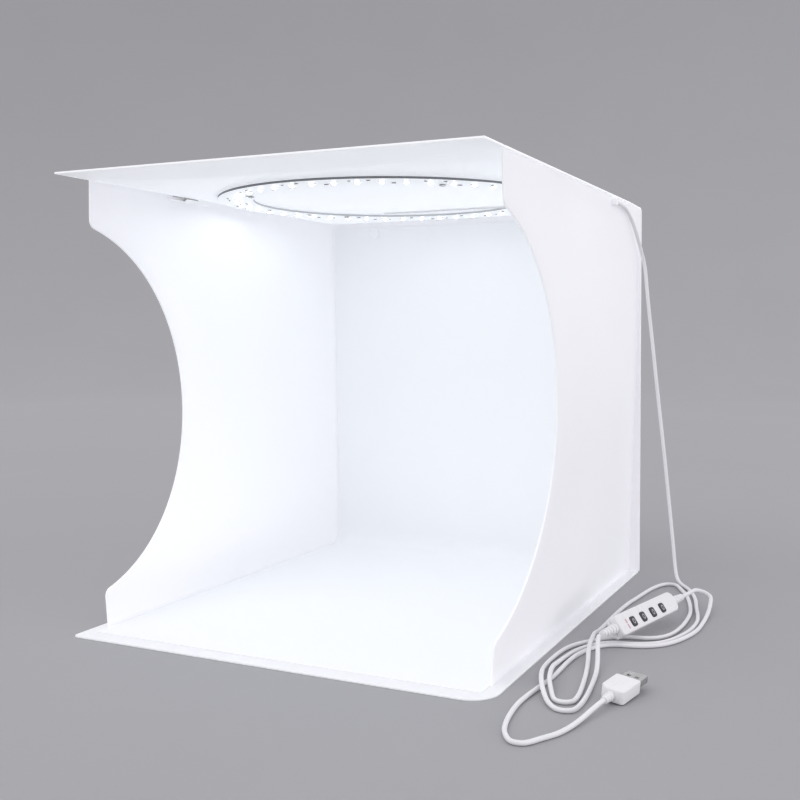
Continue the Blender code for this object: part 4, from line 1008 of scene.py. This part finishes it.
def make_ring():
    """Board with its lights and small parts, the frosted backing behind it, and the screws."""
    place = Matrix.Translation((0, RING_Y, RING_FACE))
    chamfer = BOARD_CHAMFER
    board = turned([(RING_INNER, chamfer), (RING_INNER + chamfer, 0), (RING_OUTER - chamfer, 0),
                    (RING_OUTER, chamfer), (RING_OUTER, BOARD - chamfer), (RING_OUTER - chamfer, BOARD),
                    (RING_INNER + chamfer, BOARD), (RING_INNER, BOARD - chamfer)], 180)
    board = keep(moved(board, place), "lit_ring_board", [BOARD_WHITE, RING_EDGE_SHADE, RING_INNER_EDGE_SHADE])
    cut_with(board, screw_holes())
    # Upright faces of the board take the painted shade: dark grey on the outer edge, mid grey on the inner.
    middle_r = (RING_INNER + RING_OUTER) / 2
    for face in board.data.polygons:
        inner = math.hypot(face.center.x, face.center.y - RING_Y) < middle_r
        face.material_index = (2 if inner else 1) if abs(face.normal.z) < 0.8 else 0
    sharpened(board, 30)
    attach(board, "roof")
    tree, ins, outs = node_tree("ring_lights", [
        ("Lights", 'NodeSocketInt', LIGHTS), ("Light circle", 'NodeSocketFloat', LIGHT_R),
        ("Chips", 'NodeSocketInt', CHIPS), ("Chip circle", 'NodeSocketFloat', CHIP_R)])
    join = tree.nodes.new('GeometryNodeJoinGeometry')
    half = LIGHT_PITCH / 2
    # Count, circle, turn, size and shift in millimetres, finish and shape of each kind of block
    branches = [
        ("Lights", "Light circle", LIGHT_TURN, (2.8, 3.5, 0.75), (0, 0, -0.375), PACKAGE, 'cube'),
        ("Lights", "Light circle", LIGHT_TURN, (1.3, 1.5, 0.75), (0, 0, -0.72), LIT, 'dome'),
        ("Lights", "Light circle", LIGHT_TURN, (1.9, 0.5, 0.34), (0, 1.95, -0.17), SOLDER, 'cube'),
        ("Lights", "Light circle", LIGHT_TURN, (1.9, 0.5, 0.34), (0, -1.95, -0.17), SOLDER, 'cube'),
        ("Chips", "Chip circle", LIGHT_TURN + half, (1.3, 2.4, 0.55), (0, 0, -0.27), CHIP, 'cube'),
        ("Chips", "Chip circle", LIGHT_TURN + half, (1.35, 0.4, 0.6), (0, 1.2, -0.3), SOLDER, 'cube'),
        ("Chips", "Chip circle", LIGHT_TURN + half, (1.35, 0.4, 0.6), (0, -1.2, -0.3), SOLDER, 'cube'),
        ("Chips", "Chip circle", LIGHT_TURN - half, (1.2, 2.0, 0.5), (11.2, 0, -0.25), CHIP, 'cube'),
        ("Chips", "Chip circle", LIGHT_TURN - half, (1.2, 0.4, 0.55), (11.2, 1.0, -0.27), SOLDER, 'cube'),
        ("Chips", "Chip circle", LIGHT_TURN - half, (1.2, 0.4, 0.55), (11.2, -1.0, -0.27), SOLDER, 'cube'),
        ("Chips", "Chip circle", LIGHT_TURN + 3 * half, (1.0, 1.6, 0.45), (9.8, 3.4, -0.22), CHIP, 'cube'),
    ]
    for count, radius, turn, block, drop, finish, shape in branches:
        tree.links.new(ring_of_blocks(tree, ins, count, radius, turn, block, drop, finish, shape),
                       join.inputs['Geometry'])
    tree.links.new(join.outputs['Geometry'], outs.inputs['Geometry'])
    lights = grown(tree, "ring_lights_and_chips", {"Lights": LIGHTS}, place, "roof")
    lights.data.set_sharp_from_angle(angle=math.radians(30))
    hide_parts("ring_board")
    low, high = BOARD + BACKING_GAP, BOARD + BACKING_TOP
    inner, outer, cut = RING_INNER + BACKING_INSET, RING_OUTER - BACKING_INSET, BACKING_INSET
    backing = turned([(inner, low), (outer, low), (outer, high - cut), (outer - cut, high),
                      (inner + cut, high), (inner, high - cut)], 180)
    backing = keep(moved(backing, place), "ring_backing", ROOF_FINISH, "roof")
    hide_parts("ring_carrier")
    for k in range(SCREWS):
        make_screw(k)


def make_screw(k):
    """Pan head with a cross recess below the board, and the shank's end just above the roof."""
    node = "ring_screw_%d" % (k + 1)
    low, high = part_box(node)
    middle = (low + high) / 2
    profile = [(0, 291.98), (0.9, 292.02), (1.7, 292.25), (2.25, 292.6), (2.4, 293.0), (1.2, 293.0),
               (1.2, 297.0), (1.0, 297.2), (0, 297.2)]
    place = Matrix.Translation((middle.x, middle.y, 0))
    screw = keep(moved(lathe(profile, 28), place), "pan_screw_%d" % (k + 1), PLATED)
    arms = []
    for turn in (0.4 + k, 0.4 + k + math.pi / 2):
        arm = box_mesh((-1.4 * MM, -0.22 * MM, 291 * MM), (1.4 * MM, 0.22 * MM, 292.55 * MM))
        arms.append(moved(arm, place @ Matrix.Rotation(turn, 4, 'Z')))
    cut_with(screw, arms)
    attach(screw, "roof")
    sharpened(screw, 30)
    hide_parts(node)


# Cable
def smooth_path(points, step):
    """Dense points along a centripetal curve through the given ones."""
    knots = [Vector(p) for p in points]
    ends = [2 * knots[0] - knots[1]] + knots + [2 * knots[-1] - knots[-2]]
    path = []
    for k in range(1, len(ends) - 2):
        a, b, c, d = ends[k - 1:k + 3]
        t0, t1 = 0.0, (b - a).length ** 0.5
        t2 = t1 + (c - b).length ** 0.5
        t3 = t2 + (d - c).length ** 0.5
        count = max(2, math.ceil((c - b).length / step))
        for i in range(count):
            t = t1 + (t2 - t1) * i / count
            ab = a * ((t1 - t) / (t1 - t0)) + b * ((t - t0) / (t1 - t0))
            bc = b * ((t2 - t) / (t2 - t1)) + c * ((t - t1) / (t2 - t1))
            cd = c * ((t3 - t) / (t3 - t2)) + d * ((t - t2) / (t3 - t2))
            abc = ab * ((t2 - t) / (t2 - t0)) + bc * ((t - t0) / (t2 - t0))
            bcd = bc * ((t3 - t) / (t3 - t1)) + cd * ((t - t1) / (t3 - t1))
            path.append(abc * ((t2 - t) / (t2 - t1)) + bcd * ((t - t1) / (t2 - t1)))
    path.append(knots[-1])
    return path


def make_tube(name, points, diameter, body, finish):
    curve = bpy.data.curves.new(name, 'CURVE')
    curve.dimensions = '3D'
    curve.bevel_depth = diameter / 2
    curve.bevel_resolution = 5
    curve.use_fill_caps = True
    line = curve.splines.new('POLY')
    line.points.add(len(points) - 1)
    for spot, point in zip(line.points, points):
        spot.co = (*point, 1.0)
    line.use_smooth = True
    made = bpy.data.objects.new(name, curve)
    bpy.context.scene.collection.objects.link(made)
    curve.materials.append(finish)
    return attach(made, body)


def run_length(points):
    return sum((b - a).length for a, b in zip(points, points[1:]))


def make_cables():
    lengths = {}
    for name, route in (("cord_in", ROUTE_IN), ("cord_out", ROUTE_OUT)):
        points = smooth_path(route, 1.4 * MM)
        cable = make_tube("cable_" + name[5:], points, CORD_D, "right_wall", JACKET)
        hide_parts(name)
        lengths[name] = (cable, run_length(points))
    cable, length = lengths["cord_in"]
    cable, length = lengths["cord_out"]


# Hand control
def control_frame():
    turn = CONTROL_TURN.to_matrix().to_4x4()
    return Matrix.Translation(CONTROL_AT) @ turn @ Matrix.Translation((0, 0, -CONTROL_TALL / 2))


def plug_frame():
    return Matrix.Translation(PLUG_AT) @ PLUG_TURN.to_matrix().to_4x4()


def case_plan(inset):
    """Case outline: slightly rounded at the end the long cable enters, well rounded at the other."""
    long_half, wide_half = CONTROL_LONG / 2 - inset, CONTROL_WIDE / 2 - inset
    outline = []
    for end, side, start in ((1, 1, 0), (-1, 1, 1), (-1, -1, 2), (1, -1, 3)):
        radius = (CASE_FAR_R if end > 0 else CASE_NEAR_R) - inset
        for k in range(9):
            turn = math.pi / 2 * (start + k / 8)
            outline.append((end * (long_half - radius) + radius * math.cos(turn),
                            side * (wide_half - radius) + radius * math.sin(turn)))
    return outline


def make_control():
    """Two case halves with a parting line, four keys with plain marks, and two ribbed cones."""
    lay = control_frame()
    long_half, half = CONTROL_LONG / 2, CONTROL_TALL / 2
    split = -half + CASE_SPLIT
    windows = []
    for k in range(KEYS):
        window = key_block(k, KEY_GAP, half - WINDOW_FOOT, half + MM)
        windows.append(round_upright(window, KEY_CORNER + KEY_GAP))
    pieces = []
    for name, node, low, high, cuts in (("case_top", "control_top", split + CASE_SEAM, half, windows),
                                        ("case_base", "control_base", -half, split - CASE_SEAM, [])):
        case = keep(prism(case_plan(0), low, high), name, CASE)
        settle(bevelled(case, CASE_ROUND, 4, math.radians(60)))
        inner_low = low - MM if cuts else low + CASE_SKIN
        inner_high = high - CASE_SKIN if cuts else high + MM
        room = prism(case_plan(CASE_SKIN), inner_low, inner_high)
        cut_with(case, [room] + cuts)
        case.data.transform(lay)
        sharpened(case, 35)
        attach(case, "right_wall")
        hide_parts(node)
        pieces.append(case)
    for k in range(KEYS):
        pieces += make_key(k, lay, half)
    for side, word in ((-1, "in"), (1, "out")):
        pieces.append(make_relief(side, word, lay, long_half))
    bm = bmesh.new()
    for y in DASH_ROWS:
        spot = lay @ Matrix.Translation((DASH_X, y, half + 0.02 * MM))
        bmesh.ops.create_cube(bm, size=1.0, matrix=spot @ Matrix.Diagonal((*DASH_SIZE, 1)))
    dashes = keep(bm, "case_dashes", FADED_RED, "right_wall")
    pieces.append(dashes)
    NODES["control_circuit"].data.materials.clear()
    NODES["control_circuit"].data.materials.append(CIRCUIT)
    return pieces


def key_x(k):
    return KEY_SHIFT + KEY_PITCH * (k - (KEYS - 1) / 2)


def key_block(k, grown_by, low, high):
    """Box over a key's plan, grown by the same amount on its four sides."""
    x = key_x(k)
    return box_mesh((x - KEY_HALF - grown_by, KEY_NEAR_Y - grown_by, low),
                    (x + KEY_HALF + grown_by, KEY_FAR_Y + grown_by, high))


def make_key(k, lay, half):
    """Dark key with a lip that keeps it in the case, and a plain oval mark on it."""
    name = "button_%d" % (k + 1)
    cap = round_upright(key_block(k, 0, half - KEY_FOOT, half + KEY_PROUD), KEY_CORNER, 5)
    key = bevelled(keep(cap, "key_%d" % (k + 1), KEY_DARK), 0.35 * MM, 3, math.radians(60))
    settle(key)
    cut_with(key, [key_block(k, KEY_LIP, half - KEY_LIP_FOOT, half - KEY_LIP_TOP)], 'UNION')
    key.data.transform(lay)
    sharpened(key, 35)
    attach(key, name)
    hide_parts(name)
    ring = lathe([(1.0, 0.0), (1.45, 0.0), (1.45, 0.12), (1.0, 0.12)], 28)
    place = lay @ Matrix.Translation((key_x(k), (KEY_NEAR_Y + KEY_FAR_Y) / 2, half + KEY_PROUD - MARK_SUNK))
    stretch = Matrix.Diagonal((0.9, 1.25, 1.0, 1.0))
    mark = keep(moved(moved(ring, stretch), place), "key_mark_%d" % (k + 1), KEY_MARK, name)
    return [key, mark]


def make_relief(side, word, lay, long_half):
    """Tapered cone of soft plastic with slots between its ribs."""
    profile = [(0, 0), (3.3, 0), (3.4, 0.15)]
    long, ribs = RELIEF_LONG / MM, 5
    width = (long - 0.6) / ribs
    for k in range(ribs):
        start = 0.4 + k * (long - 0.6) / ribs
        radius = 3.4 - 1.1 * (k + 0.3) / ribs
        profile += [(radius, start + 0.1), (radius - 0.06, start + width * 0.52),
                    (radius - 0.2, start + width * 0.57), (radius - 0.95, start + width * 0.6),
                    (radius - 1.0, start + width * 0.94), (radius - 0.35, start + width * 0.97)]
    profile += [(2.25, long - 0.1), (2.1, long), (0, long)]
    place = lay @ Matrix.Translation((side * (long_half + JOIN), 0, 0))
    place = place @ Matrix.Rotation(side * math.pi / 2, 4, 'Y')
    relief = keep(moved(lathe(profile), place), "ribbed_relief_" + word, SOFT_WHITE, "right_wall")
    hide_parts("relief_" + word)
    return relief


# Plug
def make_plug():
    """Grip with unequal rear corners, ribbed neck, and open metal shell with the tongue inside."""
    lay = plug_frame()
    nose, tail = GRIP_END, -GRIP_END
    outline = [(nose, GRIP_HALF), (tail + GRIP_CUT, GRIP_HALF), (tail, GRIP_HALF - GRIP_CUT),
               (tail, GRIP_SMALL_CUT - GRIP_HALF), (tail + GRIP_SMALL_CUT, -GRIP_HALF), (nose, -GRIP_HALF)]
    grip = keep(prism(outline, -GRIP_TALL, GRIP_TALL), "plug_body", SOFT_WHITE)
    settle(bevelled(grip, GRIP_ROUND, 4, math.radians(30)))
    grip.data.transform(lay)
    sharpened(grip, 40)
    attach(grip, "right_wall")
    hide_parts("plug_grip")
    profile = [(0, 0), (2.6, 0), (2.6, 0.9), (2.15, 1.0), (2.15, 1.9), (2.55, 2.0), (2.5, 3.2), (2.1, 3.3),
               (2.1, 4.2), (2.45, 4.3), (2.35, 5.6), (2.0, 5.7), (2.0, 6.4), (2.3, 6.5), (2.1, 7.8),
               (1.8, 8.0), (0, 8.0)]
    place = lay @ Matrix.Translation((tail - JOIN, 0, 0)) @ Matrix.Rotation(-math.pi / 2, 4, 'Y')
    neck = keep(moved(lathe(profile), place), "plug_neck", SOFT_WHITE, "right_wall")
    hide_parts("plug_relief")
    upright = Matrix(((0, 0, 1, 0), (1, 0, 0, 0), (0, 1, 0, 0), (0, 0, 0, 1)))
    start = nose + JOIN
    wide, tall = SHELL_HALF, SHELL_TALL_HALF
    shell = box_mesh((-wide, -tall, start), (wide, tall, start + SHELL_LONG))
    shell = keep(moved(round_upright(shell, SHELL_CORNER, 5), upright), "plug_metal", PLATED)
    wide, tall = wide - SHELL_WALL, tall - SHELL_WALL
    bore = box_mesh((-wide, -tall, start - MM), (wide, tall, start + SHELL_LONG + MM))
    tools = [moved(round_upright(bore, BORE_CORNER, 3), upright)]
    hole = start + LATCH_START
    for y in (-LATCH_Y, LATCH_Y):
        tools.append(box_mesh((hole, y - LATCH_HOLE / 2, -LATCH_CUT),
                              (hole + LATCH_HOLE, y + LATCH_HOLE / 2, LATCH_CUT)))
    cut_with(shell, tools)
    bevelled(shell, 0.08 * MM, 2, math.radians(60))
    settle(shell)
    shell.data.transform(lay)
    sharpened(shell, 35)
    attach(shell, "right_wall")
    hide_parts("plug_shell")
    tongue = NODES["plug_tongue"]
    tongue.data.materials.clear()
    tongue.data.materials.append(NYLON)
    bm = bmesh.new()
    for y in STRIP_ROWS:
        place = lay @ Matrix.Translation((start + STRIP_X, y, STRIP_Z))
        bmesh.ops.create_cube(bm, size=1.0, matrix=place @ Matrix.Diagonal((*STRIP_SIZE, 1)))
    strips = keep(bm, "plug_contacts", SOLDER, "right_wall")
    return [grip, neck, shell, strips, tongue]


# Gland and lead
def wavy_run(low_x, high_x, y, z, wave, turn, steps):
    """Points along x that wander a little from side to side."""
    return [Vector((low_x + (high_x - low_x) * k / steps, y + wave * math.sin(k * turn), z))
            for k in range(steps + 1)]


def make_gland_and_lead():
    """Small rounded boss in the wall's hole, the ring's lead and its clips, and a wire across the ring."""
    low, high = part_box("cable_gland")
    middle = (low.y + high.y) / 2
    outer = box_mesh((BOSS_X, low.y + BOSS_INSET, low.z), (high.x, high.y, high.z))
    gland = keep(outer, "cable_boss", WALL_FINISH)
    neck = box_mesh((NECK_IN, middle - NECK_HALF, low.z + NECK_INSET),
                    (NECK_OUT, middle + NECK_HALF, high.z - NECK_INSET))
    flange = box_mesh((low.x, low.y, low.z + FLANGE_INSET),
                      (low.x + FLANGE_THICK, high.y, high.z - FLANGE_INSET))
    cut_with(gland, [neck, flange], 'UNION')
    bevelled(gland, BOSS_ROUND, 4, math.radians(60))
    settle(gland, "right_wall")
    sharpened(gland, 50)
    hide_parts("cable_gland")
    a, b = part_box("ring_lead")
    y, z = (a.y + b.y) / 2, (a.z + b.z) / 2
    lead = make_tube("feed_lead", wavy_run(a.x, b.x, y, z, LEAD_WAVE, 0.7, 24), LEAD_D, "roof", JACKET)
    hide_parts("ring_lead")
    points = wavy_run(BRIDGE_FROM, BRIDGE_TO, BRIDGE_Y, BRIDGE_Z, BRIDGE_WAVE, 0.11, 60)
    bridge = make_tube("bridge_wire", points, BRIDGE_D, "roof", JACKET)
    for k in range(CLIPS):
        node = "lead_clip_%d" % (k + 1)
        low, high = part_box(node)
        clip = keep(box_mesh(low, high), "cable_clip_%d" % (k + 1), NYLON)
        lay = Matrix.Translation((low.x - CLIP_BORE_PAST, y, z)) @ Matrix.Rotation(math.pi / 2, 4, 'Y')
        cut_with(clip, [moved(rod(CLIP_BORE_R, 0, CLIP_BORE_LONG), lay)])
        bevelled(clip, CLIP_ROUND, 2, math.radians(60))
        settle(clip, "roof")
        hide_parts(node)


# Studio
def make_camera():
    lens = bpy.data.cameras.new("camera")
    lens.lens = LENS
    lens.sensor_width = 36.0
    lens.shift_y = LENS_SHIFT
    camera = bpy.data.objects.new("camera", lens)
    camera.location = CAMERA_AT
    camera.rotation_euler = (math.pi / 2 - CAMERA_DOWN, 0, CAMERA_TURN)
    bpy.context.scene.collection.objects.link(camera)
    bpy.context.scene.camera = camera


def area_light(name, spot, aim, size, power, colour):
    lamp = bpy.data.lights.new(name, 'AREA')
    lamp.shape = 'RECTANGLE'
    lamp.size, lamp.size_y = size
    lamp.energy = power
    lamp.color = colour
    made = bpy.data.objects.new(name, lamp)
    made.location = spot
    made.rotation_euler = (Vector(aim) - Vector(spot)).to_track_quat('-Z', 'Y').to_euler()
    made.visible_camera = False
    bpy.context.scene.collection.objects.link(made)
    return made


def make_studio():
    """Pale floor that sweeps up far off on all sides, soft light from above, and the ring's own light."""
    made, tree, shader, coords = start_material("pale_floor")
    cloud = noise(tree, coords, 3.0, 3.0)
    tint = blend_colours(tree, cloud, (0.40, 0.40, 0.41), (0.38, 0.38, 0.39))
    tree.links.new(tint, shader.inputs['Base Color'])
    shader.inputs['Roughness'].default_value = 0.8
    floor = keep(rod(FLOOR_REACH, -0.01, 0, FLOOR_SIDES), "studio_floor", made)
    bm = bmesh.new()
    bends = [math.pi / 2 * k / 24 for k in range(25)]
    profile = [(FLOOR_REACH + FLOOR_RISE * math.sin(t), FLOOR_RISE - FLOOR_RISE * math.cos(t)) for t in bends]
    profile.append((FLOOR_REACH + FLOOR_RISE, FLOOR_TOP))
    turns = [2 * math.pi * i / FLOOR_SIDES for i in range(FLOOR_SIDES)]
    rings = []
    for radius, z in profile:
        rings.append([bm.verts.new((radius * math.cos(t), radius * math.sin(t), z)) for t in turns])
    for here, there in zip(rings, rings[1:]):
        for i in range(FLOOR_SIDES):
            j = (i + 1) % FLOOR_SIDES
            bm.faces.new((here[i], there[i], there[j], here[j]))
    sweep = keep(bm, "studio_sweep", made, smooth=math.radians(60))
    sweep.visible_diffuse = False
    sweep.visible_glossy = False
    sweep.visible_shadow = False
    sweep.visible_transmission = False
    world = bpy.data.worlds.new("studio_air")
    world.use_nodes = True
    air = world.node_tree.nodes["Background"]
    air.inputs['Color'].default_value = AIR_COLOUR
    air.inputs['Strength'].default_value = AIR_STRENGTH
    bpy.context.scene.world = world
    sun = bpy.data.lights.new("soft_key", 'SUN')
    sun.energy = SUN_STRENGTH
    sun.angle = SUN_WIDTH
    sun.color = (1.0, 0.99, 0.97)
    lamp = bpy.data.objects.new("soft_key", sun)
    lamp.rotation_euler = Vector((0.5, 0.62, -1.0)).to_track_quat('-Z', 'Y').to_euler()
    bpy.context.scene.collection.objects.link(lamp)
    area_light("low_side_light", (1.9, -0.3, 0.22), (0.1, 0, 0.12), (1.2, 0.5), 6.0, (0.985, 0.96, 1.0))
    area_light("floor_bounce", (0, 0, 0.02), (0, 0, 0.2), (0.2, 0.2), 0.048, (0.93, 1.0, 1.0))
    for k in range(GLOW_LAMPS):
        turn = 2 * math.pi * k / GLOW_LAMPS
        spot = (LIGHT_R * math.cos(turn), RING_Y + LIGHT_R * math.sin(turn), GLOW_Z)
        glow = area_light("ring_glow_%d" % (k + 1), spot, (spot[0], spot[1], 0), GLOW_SIZE, GLOW_POWER,
                          GLOW_COLOUR)
        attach(glow, "roof")
    bpy.context.scene.view_settings.view_transform = 'Standard'


make_camera()
CONTROL_PIECES = make_control()
PLUG_PIECES = make_plug()
make_cables()
for wall_side, wall_word in ((-1, "left"), (1, "right")):
    make_wall(wall_side, wall_word)
make_roof()
make_floor_and_back()
make_backdrop()
make_ring()
make_gland_and_lead()
make_studio()
